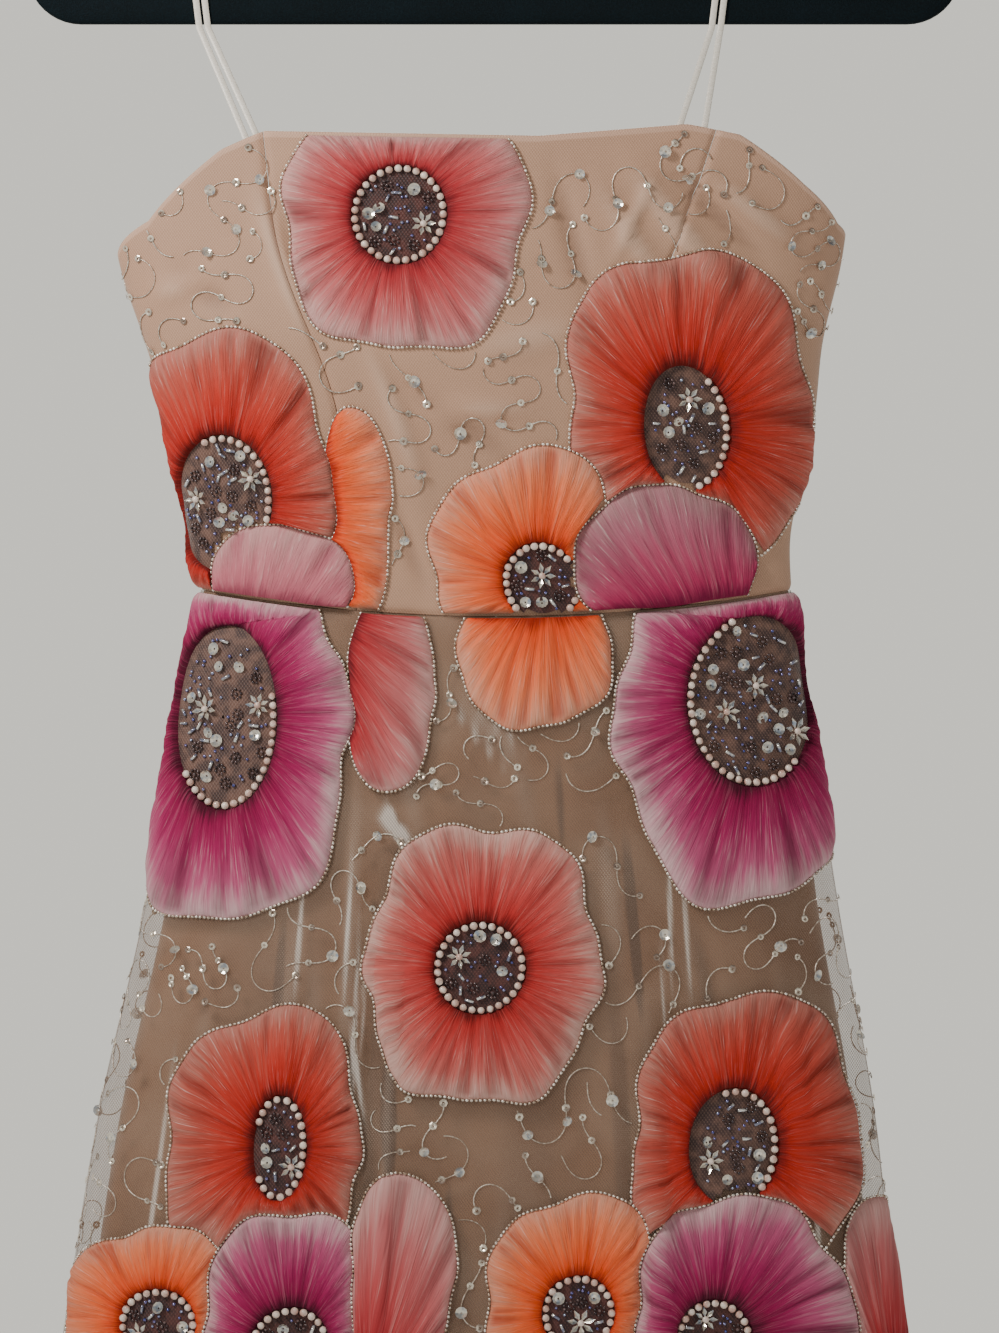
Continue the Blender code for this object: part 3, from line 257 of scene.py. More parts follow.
def cloth(angle, drop, inset_side=0.0, inset_front=0.0, fold_share=1.0, crease_share=1.0):
    """Points of the garment's outer cloth, or of a layer set in from it."""
    angle, drop = np.broadcast_arrays(np.asarray(angle, float), np.asarray(drop, float))
    middle, half, front, back = section(drop)
    turn = np.radians(angle)
    sine, cosine = np.sin(turn), np.cos(turn)
    half = half - inset_side
    depth = np.where(cosine >= 0, front, back) - inset_front
    growth = np.clip((drop[..., None] - FOLDS[:, 3]) / (HEM_DROP - FOLDS[:, 3]), 0.0,
                     FOLD_MOST)
    away = (angle[..., None] - FOLDS[:, 0] - FOLDS[:, 4] * growth + 180.0) % 360.0 - 180.0
    lift = (FOLDS[:, 2] * growth ** FOLD_POWER * np.exp(-((away / FOLDS[:, 1]) ** 2))).sum(axis=-1)
    lift = lift * fold_share
    if crease_share:
        lift = lift + crease_heights(angle, drop) * crease_share
    across, out = sine / half, -cosine / depth
    size = np.hypot(across, out)
    return np.stack([middle + half * sine + lift * across / size,
                     -depth * cosine + lift * out / size, -drop], axis=-1)


def unit_length(vectors):
    """Vectors of the same directions, each of length 1."""
    return vectors / np.linalg.norm(vectors, axis=-1, keepdims=True)


def surface_frame(surface, angle, drop):
    """Points of a surface, with its outward normal and its direction to the right."""
    turn_step, drop_step = 0.05, 0.0005
    across = surface(angle + turn_step, drop) - surface(angle - turn_step, drop)
    down = surface(angle, drop + drop_step) - surface(angle, drop - drop_step)
    return surface(angle, drop), unit_length(np.cross(down, across)), unit_length(across)


def moved_out(surface, angle, drop, out):
    """Points of a surface moved along its normal."""
    points, normal, _ = surface_frame(surface, angle, drop)
    return points + normal * np.asarray(out, float)[..., None]


def top_edge(angle):
    """Drop of the bodice's upper edge."""
    turn = (np.asarray(angle, float) + 180.0) % 360.0 - 180.0
    return np.interp(turn, TOP_EDGE[:, 0], TOP_EDGE[:, 1])


def waist_line(angle):
    """Drop of the waist seam, which sags in front."""
    cosine = np.cos(np.radians(angle))
    return WAIST_DROP + np.where(cosine >= 0, WAIST_SAG_FRONT, WAIST_SAG_BACK) * cosine ** 2


def princess(side):
    """The left or right princess seam as a function of the drop."""
    return lambda drop: smooth_curve(PRINCESS[:, 0], PRINCESS[:, side], drop)


def seam_at(place):
    """A seam's angle at a drop, from its one angle or from a function of the drop."""
    return place if callable(place) else lambda drop: place + 0.0 * drop


def weave_places(angle, drop):
    """Distance round the garment, height, and distance below the upper edge, for the weaves."""
    front = np.cos(np.radians(angle)) >= 0
    across = np.where(front, FRONT.length(angle, drop), BACK.length(angle, drop))
    return np.stack([across, -drop, drop - top_edge(angle)], axis=-1)


def strip_faces(columns, rows, wrap=False):
    """Faces of a grid of points indexed by column and row."""
    k, j = np.meshgrid(np.arange(columns if wrap else columns - 1), np.arange(rows - 1),
                       indexing="ij")
    after = (k + 1) % columns
    return np.stack([k * rows + j, k * rows + j + 1, after * rows + j + 1, after * rows + j],
                    axis=-1).reshape(-1, 4)


def add_piece(name, points, faces, finish, layers=None, smooth=True, closed=False):
    """A mesh object with its values for each point, such as its place on the weave."""
    mesh = bpy.data.meshes.new(name)
    mesh.from_pydata(np.asarray(points).reshape(-1, 3).tolist(), [],
                     [list(map(int, face)) for face in faces])
    for layer, values in (layers or {}).items():
        vector = values.shape[-1:] == (3,)
        kept = mesh.attributes.new(layer, "FLOAT_VECTOR" if vector else "FLOAT", "POINT")
        kept.data.foreach_set("vector" if vector else "value", values.astype(np.float32).ravel())
    if closed:
        bm = bmesh.new()
        bm.from_mesh(mesh)
        bmesh.ops.recalc_face_normals(bm, faces=bm.faces)
        bm.to_mesh(mesh)
        bm.free()
    mesh.polygons.foreach_set("use_smooth", [smooth] * len(mesh.polygons))
    mesh.materials.append(finish)
    made = bpy.data.objects.new(name, mesh)
    bpy.context.collection.objects.link(made)
    return made


def cleaned(made, merge=0.0):
    """Merges points that lie within a distance, and deletes those that no face uses."""
    bm = bmesh.new()
    bm.from_mesh(made.data)
    if merge:
        bmesh.ops.remove_doubles(bm, verts=bm.verts, dist=merge)
    bmesh.ops.delete(bm, geom=[vert for vert in bm.verts if not vert.link_faces], context="VERTS")
    bm.to_mesh(made.data)
    bm.free()


def worn(made, node=None):
    """Puts a piece on the dress and in place of its CAD node."""
    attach(made, "dress")
    if node:
        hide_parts(node)
    return made


class Wire:
    """A socket on which arithmetic adds Math nodes."""

    def __init__(self, finish, socket):
        self.finish, self.socket = finish, socket

    def math(self, operation, first, second=0.0):
        return self.finish.node("Math", {"operation": operation}, {0: first, 1: second})

    def __add__(self, other):
        return self.math("ADD", self, other)

    def __sub__(self, other):
        return self.math("SUBTRACT", self, other)

    def __rsub__(self, other):
        return self.math("SUBTRACT", other, self)

    def __mul__(self, other):
        return self.math("MULTIPLY", self, other)

    def waves(self):
        """A wave between 0 and 1 for each unit of the value."""
        return self.math("SINE", self * (2 * math.pi)) * 0.5 + 0.5

    def ramp(self, low, high):
        """Rises smoothly from 0 to 1 between two values."""
        return self.finish.node("MapRange", {"interpolation_type": "SMOOTHSTEP"},
                                {"Value": self, "From Min": low, "From Max": high})


class Finish:
    """A material in the making."""

    def __init__(self, name, colour, roughness=0.6, **constants):
        self.material = bpy.data.materials.new(name)
        self.material.use_nodes = True
        self.tree = self.material.node_tree
        self.shader = self.tree.nodes["Principled BSDF"]
        self.set("Base Color", colour)
        self.set("Roughness", roughness)
        for key, value in constants.items():
            self.set(key.replace("_", " ").title().replace("Ior", "IOR"), value)

    def join(self, socket, value):
        if isinstance(value, Wire):
            self.tree.links.new(value.socket, socket)
        else:
            socket.default_value = value

    def set(self, key, value):
        self.join(self.shader.inputs[key], value)

    def node(self, kind, settings=None, values=None, output=0):
        """Adds a node with its settings and the values or wires of its sockets."""
        made = self.tree.nodes.new("ShaderNode" + kind)
        for key, value in (settings or {}).items():
            if key == "stops":
                while len(made.color_ramp.elements) < len(value):
                    made.color_ramp.elements.new(1.0)
                for element, (place, colour) in zip(made.color_ramp.elements, value):
                    element.position, element.color = place, colour
            else:
                setattr(made, key, value)
        for key, value in (values or {}).items():
            self.join(made.inputs[key], value)
        return Wire(self, made.outputs[output])

    def mix(self, share, first, second):
        return self.node("Mix", {"data_type": "RGBA"}, {0: share, 6: first, 7: second}, 2)

    def layer(self, name, part=None):
        """A value kept on the mesh's points, or one part of it."""
        kept = self.node("Attribute", {"attribute_name": name}, output="Vector")
        if part is None:
            return kept
        return self.node("SeparateXYZ", None, {0: kept}, part)

    def scaled(self, vector, scale):
        """A vector stretched along its axes, for a pattern with a grain."""
        return self.node("VectorMath", {"operation": "MULTIPLY"}, {0: vector, 1: scale})

    def noise(self, vector, scale, detail=2.0, roughness=0.5):
        return self.node("TexNoise", None, {"Vector": vector, "Scale": scale, "Detail": detail,
                                            "Roughness": roughness})

    def tones(self, scale, low, high, first, second):
        """Colours the finish in two tones by a fine noise, and returns the noise."""
        tone = self.noise(self.node("TexCoord", output="Object"), scale, 1.0)
        self.set("Base Color", self.mix(tone.ramp(low, high), first, second))
        return tone

    def stops(self, scale, *stops):
        """Colours the finish from a list of stops by a fine noise."""
        tone = self.noise(self.node("TexCoord", output="Object"), scale, 1.0)
        self.set("Base Color", self.node("ValToRGB", {"stops": stops}, {0: tone}))

    def bump(self, height, distance, strength=1.0):
        self.set("Normal", self.node("Bump", None, {"Strength": strength, "Distance": distance,
                                                    "Height": height}))


def tint(red, green, blue):
    """A colour given in the usual 0 to 255 as linear light."""
    return (*(((v / 255 + 0.055) / 1.055) ** 2.4 if v > 10 else v / 3294.6
              for v in (red, green, blue)), 1.0)


# Pitch of the net's threads, and how far they slant across and down
NET_PITCH, NET_SLANT = 0.0011, (0.80, 0.60)
# The crease height at which the bodice's painted shade and highlight are full
BODICE_FULL = 0.0030


def net_lines(finish, pitch):
    """Two families of slanting net threads, the falling one plainer than the rising one."""
    across = finish.layer("weave", 0) * (NET_SLANT[0] / pitch)
    height = finish.layer("weave", 1) * (NET_SLANT[1] / pitch)
    falling, rising = (across + height).waves(), (across - height).waves()
    return falling * 0.62 + rising * 0.38


def net_over_satin(name, ground, thread, edge):
    """Satin seen through beaded net, with painted shade and highlight along its creases, and a plain
    turned edge.
    """
    finish = Finish(name, ground, 0.62, sheen_weight=0.25, sheen_roughness=0.45)
    weave = finish.layer("weave")
    cloud = finish.noise(weave, 26.0, 3.0)
    lines = net_lines(finish, NET_PITCH)
    darker = (*(channel * 0.80 for channel in ground[:3]), 1.0)
    shade = finish.mix(cloud.ramp(0.30, 0.72) * 0.35, ground, darker)
    colour = finish.mix(lines.ramp(0.45, 0.90) * 0.45, shade, thread)
    # Painted shade: the net is darkened in the troughs of its creases
    colour = finish.mix(finish.layer("drape", 1).ramp(0.05, 0.9) * 0.45, colour, tint(122, 90, 72))
    # Painted highlight: the net is lightened on the ridges of its creases
    colour = finish.mix(finish.layer("drape", 0).ramp(0.10, 1.0) * 0.22, colour, tint(232, 204, 182))
    turned = 1.0 - finish.layer("weave", 2).ramp(0.0016, 0.0026)
    finish.set("Base Color", finish.mix(turned, colour, edge))
    finish.bump(lines + finish.noise(weave, 900.0, 1.0) * 0.5, 0.00016, 0.7)
    return finish.material


bodice_cloth = net_over_satin("bodice_net", tint(182, 140, 113), tint(210, 174, 148),
                              tint(202, 162, 137))


def dense_shares(count, run, near):
    """Shares of a length that crowd in towards both seams."""
    ends = np.array([0.0, 0.25, 0.6, 1.0, 1.6]) * near / run
    return np.concatenate([ends, np.linspace(2.4 * near / run, 1 - 2.4 * near / run, count),
                           1 - ends[::-1]])


def wall_places(left, right, top, bottom, across, down):
    """Angles and drops of a panel's grid between two seams, a top line and a bottom line."""
    across, down = across[:, None], down[None, :]
    drop = 0.5 * (top(0.0) + bottom(0.0)) + 0.0 * across * down
    for _ in range(6):
        angle = left(drop) * (1 - across) + right(drop) * across
        drop = top(angle) * (1 - down) + bottom(angle) * down
    speed = np.linalg.norm(cloth(angle + 0.5, drop) - cloth(angle - 0.5, drop), axis=-1)
    return angle + SEAM_GAP / 2 / speed * (1 - 2 * across), drop, speed


def waist_above(angle):
    """Drop of the bodice's lower edge."""
    return waist_line(angle) - SEAM_GAP / 2


def bodice_wall(name, left, right, wide):
    """One panel as a closed wall, rounded over at its upper edge and dipped along its seams."""
    across = dense_shares(int(wide / BODICE_STEP), wide, BODICE_NEAR)
    down = dense_shares(BODICE_ROWS, BODICE_LONG, BODICE_NEAR)
    angle, drop, speed = wall_places(seam_at(left), seam_at(right), top_edge, waist_above,
                                     across, down)
    side = np.minimum(angle - angle[:1], angle[-1:] - angle) * speed
    foot = waist_above(angle) - drop
    dip = sum(np.exp(-(gap / SEAM_DIP_WIDE) ** 2) for gap in (side, foot)) * SEAM_DIP
    points, normal, _ = surface_frame(cloth, angle, drop)
    outer = points - normal * dip[..., None]
    inner = points - normal * BODICE_THICK
    up = unit_length(outer[:, 0] - outer[:, 1])
    roll = [(outer[:, 0] + inner[:, 0]) / 2 + (outer[:, 0] - inner[:, 0]) / 2 * math.cos(t)
            + up * BODICE_THICK / 2 * math.sin(t) for t in np.radians((45.0, 90.0, 135.0))]
    loop = np.concatenate([outer[:, ::-1], np.stack(roll, axis=1), inner], axis=1)
    weave = weave_places(angle, drop)
    # Crease heights, kept for the net's painted shade and highlight
    crease = crease_heights(angle, drop) / BODICE_FULL
    drape = np.stack([crease, -crease, 0 * crease], axis=-1)
    weave, drape = (np.concatenate([v[:, ::-1], np.repeat(v[:, :1], 3, axis=1), v], axis=1)
                    for v in (weave, drape))
    columns, rows = len(across), loop.shape[1]
    count = len(down)
    faces = [list(face) for face in strip_faces(columns, rows)]
    for k in range(columns - 1):
        faces.append((k * rows + rows - 1, k * rows, (k + 1) * rows, (k + 1) * rows + rows - 1))
    for first in (0, (columns - 1) * rows):
        for j in range(count - 1):
            low, high = count - 1 - j, count + 3 + j
            faces.append((first + low, first + low - 1, first + high + 1, first + high))
        faces.append([first + k for k in range(count - 1, count + 4)])
    made = add_piece("cloth_" + name, loop, faces, bodice_cloth,
                     {"weave": weave, "drape": drape}, closed=True)
    worn(made, name)


# Name, left seam, right seam, rough width, and the cut: greatest width, length and area
BODICE_PANELS = (
    ("bodice_side_front_left", -90.0, princess(1), 0.115, (0.125, 0.215, 0.0190)),
    ("bodice_front", princess(1), princess(2), 0.180, (0.185, 0.235, 0.0370)),
    ("bodice_side_front_right", princess(2), 90.0, 0.110, (0.120, 0.225, 0.0190)),
    ("bodice_back_right", 90.0, 180.0, 0.170, (0.180, 0.165, 0.0255)),
    ("bodice_back_left", 180.0, 270.0, 0.170, (0.180, 0.165, 0.0255)),
)
for panel_name, panel_left, panel_right, panel_wide, panel_cut in BODICE_PANELS:
    bodice_wall(panel_name, panel_left, panel_right, panel_wide)


# Skirt lining: a plain nude satin skirt in three panels, seamed at the waist, the sides and
# centre back, which hangs inside the tulle and ends a little above it in a narrow turned hem.
LINING_HEM_DROP = 1.2850
LINING_SET_IN, LINING_SET_IN_SIDE, LINING_SET_IN_FRONT = 0.0018, 0.0100, 0.0055
LINING_FREE, LINING_FOLD_SHARE = 0.1600, 0.5
LINING_STITCH_UP = 0.012
LINING_ROWS, LINING_THREADS = 56, 2600.0
# The crease height at which the lining's painted shade and the tulle's painted highlight are full
CREASE_FULL = 0.0016
SKIRT_NEAR, SKIRT_HEAD, SKIRT_HEAD_ROWS = 0.002, 0.02, 5
# Narrow folds where the tulle doubles, and lines of painted shadow between the lining's folds, where the
# last value is below 0: both ends as for the creases, half width in mm and strength
FRONT_LINES = (
    (-65, 604, -69, 712, 1.3, 1.0), (-61, 622, -65, 790, 1.2, 0.9), (-68, 690, -53, 768, 1.3, 0.9),
    (-88, 622, -92, 704, 1.4, 0.9), (-58, 640, -60, 740, 1.1, 0.7), (82, 600, 86, 706, 1.3, 1.0),
    (88, 610, 96, 712, 1.4, 0.9), (78, 640, 84, 736, 1.2, 0.7), (-30, 542, 16, 598, 1.6, 0.6),
    (-27, 538, 22, 592, 5.0, 0.45), (-22, 534, 26, 588, 1.4, 0.5), (-57, 600, -34, 626, 4.0, 1.3),
    (-52, 594, -40, 628, 2.2, 1.0), (-84, 640, -80, 760, 7.0, 0.30), (150, 700, 172, 960, 1.6, 0.9),
    (-146, 680, -168, 900, 1.6, 0.9), (-160, 900, -196, 1270, 1.6, 0.9), (60, 900, 66, 1240, 1.5, 0.8),
    (-24, 760, -30, 1010, 1.4, 0.6), (16, 760, 10, 900, 1.2, 0.5), (100, 900, 110, 1200, 1.5, 0.8),
    (-46, 596, -45, 664, 2.6, -1.1), (-50, 706, -47, 790, 3.4, -1.2), (64, 596, 78, 720, 2.6, -1.1),
    (-104, 640, -108, 730, 2.6, -0.9), (-16, 760, -20, 860, 3.0, -0.8), (30, 560, 36, 640, 2.6, -0.6),
    (6, 900, 0, 1100, 3.2, -1.0), (-60, 900, -76, 1180, 3.2, -1.0), (130, 920, 150, 1220, 3.2, -1.0))
BACK_LINES = (
    (-60, 540, -72, 700, 1.4, 1.0), (50, 560, 62, 760, 1.4, 0.9), (-20, 700, -28, 900, 1.4, 0.9),
    (96, 650, 120, 820, 1.5, 0.9), (-110, 620, -136, 800, 1.4, 0.8), (20, 900, 28, 1160, 1.5, 0.9),
    (-100, 900, -118, 1200, 1.5, 0.8), (140, 860, 160, 1120, 1.5, 0.8), (-40, 620, -46, 730, 2.8, -1.0),
    (70, 800, 82, 960, 3.0, -1.0), (-80, 960, -92, 1200, 3.0, -1.0), (120, 560, 134, 700, 2.8, -0.9))
# Panel, its seams in degrees, rough width, and columns of faces in the lining and in the tulle
SKIRT_SPANS = (("front", -90.0, 90.0, 0.40, 150, 300), ("back_right", 90.0, 180.0, 0.20, 60, 120),
               ("back_left", 180.0, 270.0, 0.20, 60, 120))


def lining_surface(angle, drop):
    """The lining's points, which draw in from the tulle below the waist."""
    fall = np.clip((np.asarray(drop, float) - WAIST_DROP) / LINING_FREE, 0.0, 1.0)
    ease = fall * fall * (3 - 2 * fall)
    side = LINING_SET_IN + (LINING_SET_IN_SIDE - LINING_SET_IN) * ease
    front = LINING_SET_IN + (LINING_SET_IN_FRONT - LINING_SET_IN) * ease
    return cloth(angle, drop, side, front, LINING_FOLD_SHARE, 0.0)


def waist_below(angle):
    """Drop of the skirt's upper edge."""
    return waist_line(angle) + SEAM_GAP / 2


def hem_at(drop):
    """A level hem as a function of the angle."""
    return lambda angle: drop + 0.0 * np.asarray(angle, float)


def lining_finish():
    """Nude satin with painted shade in bands and in its folds, painted shadow between them, and a
    stitched hem.
    """
    ground, shade = tint(154, 114, 86), tint(88, 62, 48)
    finish = Finish("lining_satin", ground, 0.42, sheen_weight=0.1)
    weave = finish.layer("weave")
    # Painted shade: soft vertical bands at random, standing in for the lining's folds
    cloud = finish.noise(finish.scaled(weave, (1.6, 0.35, 0.0)), 14.0, 2.0)
    # Painted shade in the troughs of the creases, and painted shadow along the dark fold lines
    trough = (finish.layer("drape", 0) * -1.0).ramp(0.05, 0.9)
    dark = (finish.layer("drape", 1) * -1.0).ramp(0.15, 0.55)
    colour = finish.mix(cloud.ramp(0.36, 0.68) * 0.55, ground, tint(118, 86, 66))
    colour = finish.mix(trough * 0.6, colour, shade)
    finish.set("Base Color", finish.mix(dark * 0.85, colour, tint(70, 52, 44)))
    across, height = finish.layer("weave", 0), finish.layer("weave", 1)
    threads = (across * LINING_THREADS).waves() + (height * LINING_THREADS).waves()
    hem = height + (LINING_HEM_DROP - LINING_STITCH_UP)
    hem_line = 1.0 - hem.math("ABSOLUTE", hem).ramp(0.0, 0.0012)
    finish.bump(threads * 0.5 - hem_line * 3.0, 0.00008, 0.6)
    return finish.material


def skirt_sheet(name, surface, start, end, hem, wide, columns, rows, finish, seam_dip):
    """One open sheet of skirt cloth that dips in at its seams."""
    across = dense_shares(columns, wide, SKIRT_NEAR)
    down = np.concatenate([np.linspace(0.0, SKIRT_HEAD, SKIRT_HEAD_ROWS)[:-1],
                           np.linspace(SKIRT_HEAD, 1.0, rows)])
    angle, drop, speed = wall_places(seam_at(start), seam_at(end), waist_below, hem_at(hem),
                                     across, down)
    side = np.minimum(angle - angle[:1], angle[-1:] - angle) * speed
    head = drop - waist_below(angle)
    dip = sum(np.exp(-(gap / SEAM_DIP_WIDE) ** 2) for gap in (side * 2.0, head)) * SEAM_DIP
    points = moved_out(surface, angle, drop, -dip * seam_dip)
    # Crease heights and fold lines for the colour: painted shade, shadow and highlight, and paler
    # doubled tulle
    drape = crease_heights(angle, drop) / CREASE_FULL
    lines = crease_heights(angle, drop, FRONT_LINES, BACK_LINES) * 1000
    made = add_piece("cloth_" + name, points, strip_faces(len(across), len(down)), finish,
                     {"weave": weave_places(angle, drop),
                      "drape": np.stack([drape, lines, 0 * lines], axis=-1)})
    worn(made, name)


LINING_DIP, LINING_CUT, LINING_BACK_CUT = 0.2, (0.66, 0.80, 0.380), (0.33, 0.80, 0.190)
lining_satin = lining_finish()
for span_name, span_start, span_end, span_wide, columns, _ in SKIRT_SPANS:
    skirt_sheet("skirt_lining_" + span_name, lining_surface, span_start, span_end,
                LINING_HEM_DROP, span_wide, columns, LINING_ROWS, lining_satin,
                LINING_DIP)


# Tulle overskirt: fine soft net in three panels over the lining, seamed with it at the waist and
# left raw at the hem. It stands clear of the lining at the sides and falls in soft folds.
TULLE_ROWS, TULLE_DIP = 98, 0.6


def tulle_finish():
    """Net that is clear between its threads, paler where it doubles, with painted highlight on its broad
    creases.
    """
    finish = Finish("skirt_tulle", tint(176, 150, 132), 0.75, sheen_weight=0.2,
                    sheen_roughness=0.4)
    lines = net_lines(finish, NET_PITCH)
    ridge = finish.layer("drape", 1).ramp(0.10, 0.90)
    swell = finish.layer("drape", 0).ramp(0.10, 1.10)
    cloud = finish.noise(finish.layer("weave"), 18.0, 2.0)
    colour = finish.mix(cloud.ramp(0.3, 0.7), tint(140, 112, 93), tint(168, 143, 124))
    # Painted highlight: the tulle is lightened on the ridges of its broad creases
    colour = finish.mix(swell * 0.30, colour, tint(206, 190, 176))
    finish.set("Base Color", finish.mix(ridge * 0.85, colour, tint(226, 216, 206)))
    finish.set("Alpha", lines.ramp(0.35, 0.85) * 0.40 + 0.20 + swell * 0.04 + ridge * 0.34)
    return finish.material


tulle_net = tulle_finish()
for span_name, span_start, span_end, span_wide, _, columns in SKIRT_SPANS:
    skirt_sheet("skirt_tulle_" + span_name, cloth, span_start, span_end, HEM_DROP, span_wide,
                columns, TULLE_ROWS, tulle_net, TULLE_DIP)


# Gathered flowers: rings and petals of dyed silk chiffon, pleated tightly round a net heart or a
# seam and stitched down over the bodice and the tulle. Their rims fade to a dusty pale colour.
FLOWER_CREST, FLOWER_BASE = 0.0047, 0.0004
FLOWER_CLEARANCE, FLOWER_UNDER = 0.0010, 0.0004
RIM_POWER, RIM_MEAN, RIM_LOBE, RIM_RIPPLE = 2.3, 0.955, 0.045, 0.015
# Two flowers are looked at for overlap when they are as near as this share of their reaches
NEAR_SHARE = 1.05
# Pleats: the step at which their ends are sought and then halved, where the search starts and
# ends from the source, and the shortest one that is kept
PLEAT_STEP, PLEAT_HALVINGS, PLEAT_NEAR, PLEAT_FAR, PLEAT_LEAST = 0.0006, 5, 0.012, 0.21, 0.0015
# Shares of a pleat's length at its two ends, between which rows of faces are evenly spaced
PLEAT_HEAD, PLEAT_TAIL, PLEAT_EVEN = [0.0, 0.03, 0.08], [0.92, 0.96, 0.985, 1.0], (0.15, 0.86)
# Waves of the pleats round a flower, and the share of each
PLEAT_WAVES = ((9, 0.55), (23, 0.42), (37, 0.34), (53, 0.26), (71, 0.16))
GATHER_HIGH, VALLEY_DEEP = 0.00066, 0.0018
# Distance over which the chiffon rounds down at its ends
RIM_ROUND = 0.0022
VALLEYS, PETAL_VALLEYS = 7, 3
# Pleats and rows of faces of a flower in the picture, and of one below or behind it
PICTURE_LOW, FINE, PLAIN = 0.90, (300, 17), (184, 12)
# Cloth taken up by the pleats: across a flower, in its area, and the least share of its box
FLAT_WIDER, FLAT_AREA, FLAT_LEAST = 1.3, 1.15, 0.31
# Name, zone, distance from centre front or back, drop, reaches left, right, up and down in mm,
# lobes of the rim and their phase, and the chiffon. Later flowers lie over earlier ones.
FLOWERS = (
    ("flower_top_coral", "bodice", -38, 324, 57, 62, 60, 67, 5, 0.4, "coral"),
    ("petal_left_orange", "bodice", -64, 458, 16, 17, 47, 60, 3, 0.8, "orange"),
    ("flower_left_red", "bodice", -129, 459, 60, 56, 85, 60, 5, 1.9, "red"),
    ("petal_left_pale", "bodice", -101, 491, 37, 35, 22, 30, 3, 2.2, "pale"),
    ("flower_right_red", "bodice", 92, 424, 58, 70, 88, 72, 5, 2.6, "red"),
    ("flower_waist_orange", "bodice", 22, 497, 54, 41, 66, 30, 5, 1.2, "orange"),
    ("petal_right_mauve", "bodice", 83, 486, 46, 43, 36, 40, 4, 0.6, "mauve"),
    ("petal_waist_orange", "skirt", 20, 532, 38, 37, 40, 34, 4, 2.9, "orange"),
    ("petal_left_coral", "skirt", -47, 547, 22, 20, 50, 50, 3, 1.5, "coral"),
    ("flower_side_magenta_left", "skirt", -128, 560, 64, 63, 70, 102, 6, 1.1, "magenta"),
    ("flower_side_magenta_right", "skirt", 124, 552, 69, 66, 70, 100, 6, 0.2, "magenta"),
    ("flower_centre_poppy", "skirt", -5, 677, 55, 58, 70, 66, 6, 2.0, "poppy"),
    ("flower_low_red_left", "skirt", -96, 761, 58, 38, 68, 71, 5, 1.4, "red"),
    ("flower_low_red_right", "skirt", 116, 761, 49, 68, 75, 69, 5, 2.4, "red"),
    ("petal_side_coral", "skirt", 192, 822, 22, 34, 36, 44, 3, 2.1, "coral"),
    ("flower_low_orange_left", "skirt", -152, 844, 56, 50, 46, 56, 5, 0.7, "orange"),
    ("flower_low_magenta_left", "skirt", -88, 853, 45, 42, 67, 57, 5, 3.0, "magenta"),
    ("petal_low_coral", "skirt", -37, 816, 25, 25, 46, 56, 3, 1.0, "coral"),
    ("flower_low_orange_right", "skirt", 45, 837, 45, 42, 57, 62, 5, 1.7, "orange"),
    ("flower_low_magenta_right", "skirt", 108, 850, 38, 72, 69, 62, 6, 0.9, "magenta"),
    ("flower_hem_red", "skirt", -148, 968, 66, 60, 60, 64, 5, 0.3, "red"),
    ("flower_hem_coral", "skirt", -14, 950, 58, 60, 64, 60, 6, 1.6, "coral"),
    ("flower_hem_magenta", "skirt", 150, 985, 64, 66, 62, 68, 5, 2.3, "magenta"),
    ("flower_hem_orange", "skirt", 72, 1070, 56, 58, 60, 62, 5, 0.5, "orange"),
    ("flower_hem_poppy", "skirt", -86, 1094, 62, 60, 64, 62, 6, 2.7, "poppy"),
    ("flower_hem_magenta_left", "skirt", -206, 1150, 58, 60, 62, 60, 5, 1.3, "magenta"),
    ("flower_hem_red_right", "skirt", 188, 1152, 62, 60, 66, 64, 5, 0.1, "red"),
    ("flower_hem_orange_low", "skirt", 20, 1212, 60, 62, 58, 60, 6, 2.0, "orange"),
    ("flower_back_red", "bodice_back", -78, 420, 52, 46, 50, 52, 5, 0.9, "red"),
    ("flower_back_coral", "bodice_back", 70, 424, 46, 48, 52, 56, 5, 2.5, "coral"),
    ("flower_back_orange", "skirt_back", -74, 590, 52, 50, 54, 58, 5, 1.8, "orange"),
    ("flower_back_magenta", "skirt_back", 78, 606, 54, 52, 60, 62, 6, 0.4, "magenta"),
    ("flower_back_poppy", "skirt_back", 2, 742, 58, 56, 62, 60, 6, 1.1, "poppy"),
    ("flower_back_low_magenta", "skirt_back", -124, 764, 52, 50, 62, 64, 5, 2.9, "magenta"),
    ("flower_back_low_red", "skirt_back", 126, 778, 54, 54, 60, 62, 5, 0.6, "red"),
    ("flower_back_low_orange", "skirt_back", -66, 896, 56, 58, 58, 62, 5, 2.2, "orange"),
    ("flower_back_low_coral", "skirt_back", 80, 930, 60, 56, 62, 60, 6, 1.5, "coral"),
    ("flower_back_hem_red", "skirt_back", -150, 1020, 60, 58, 64, 62, 5, 0.2, "red"),
    ("flower_back_hem_magenta", "skirt_back", 4, 1064, 60, 60, 62, 66, 5, 1.9, "magenta"),
    ("flower_back_hem_orange", "skirt_back", 156, 1082, 60, 58, 60, 62, 5, 2.8, "orange"),
    ("flower_back_hem_poppy", "skirt_back", -86, 1182, 62, 60, 60, 62, 6, 0.8, "poppy"),
    ("flower_back_hem_coral", "skirt_back", 82, 1204, 58, 60, 60, 58, 5, 1.2, "coral"),
)
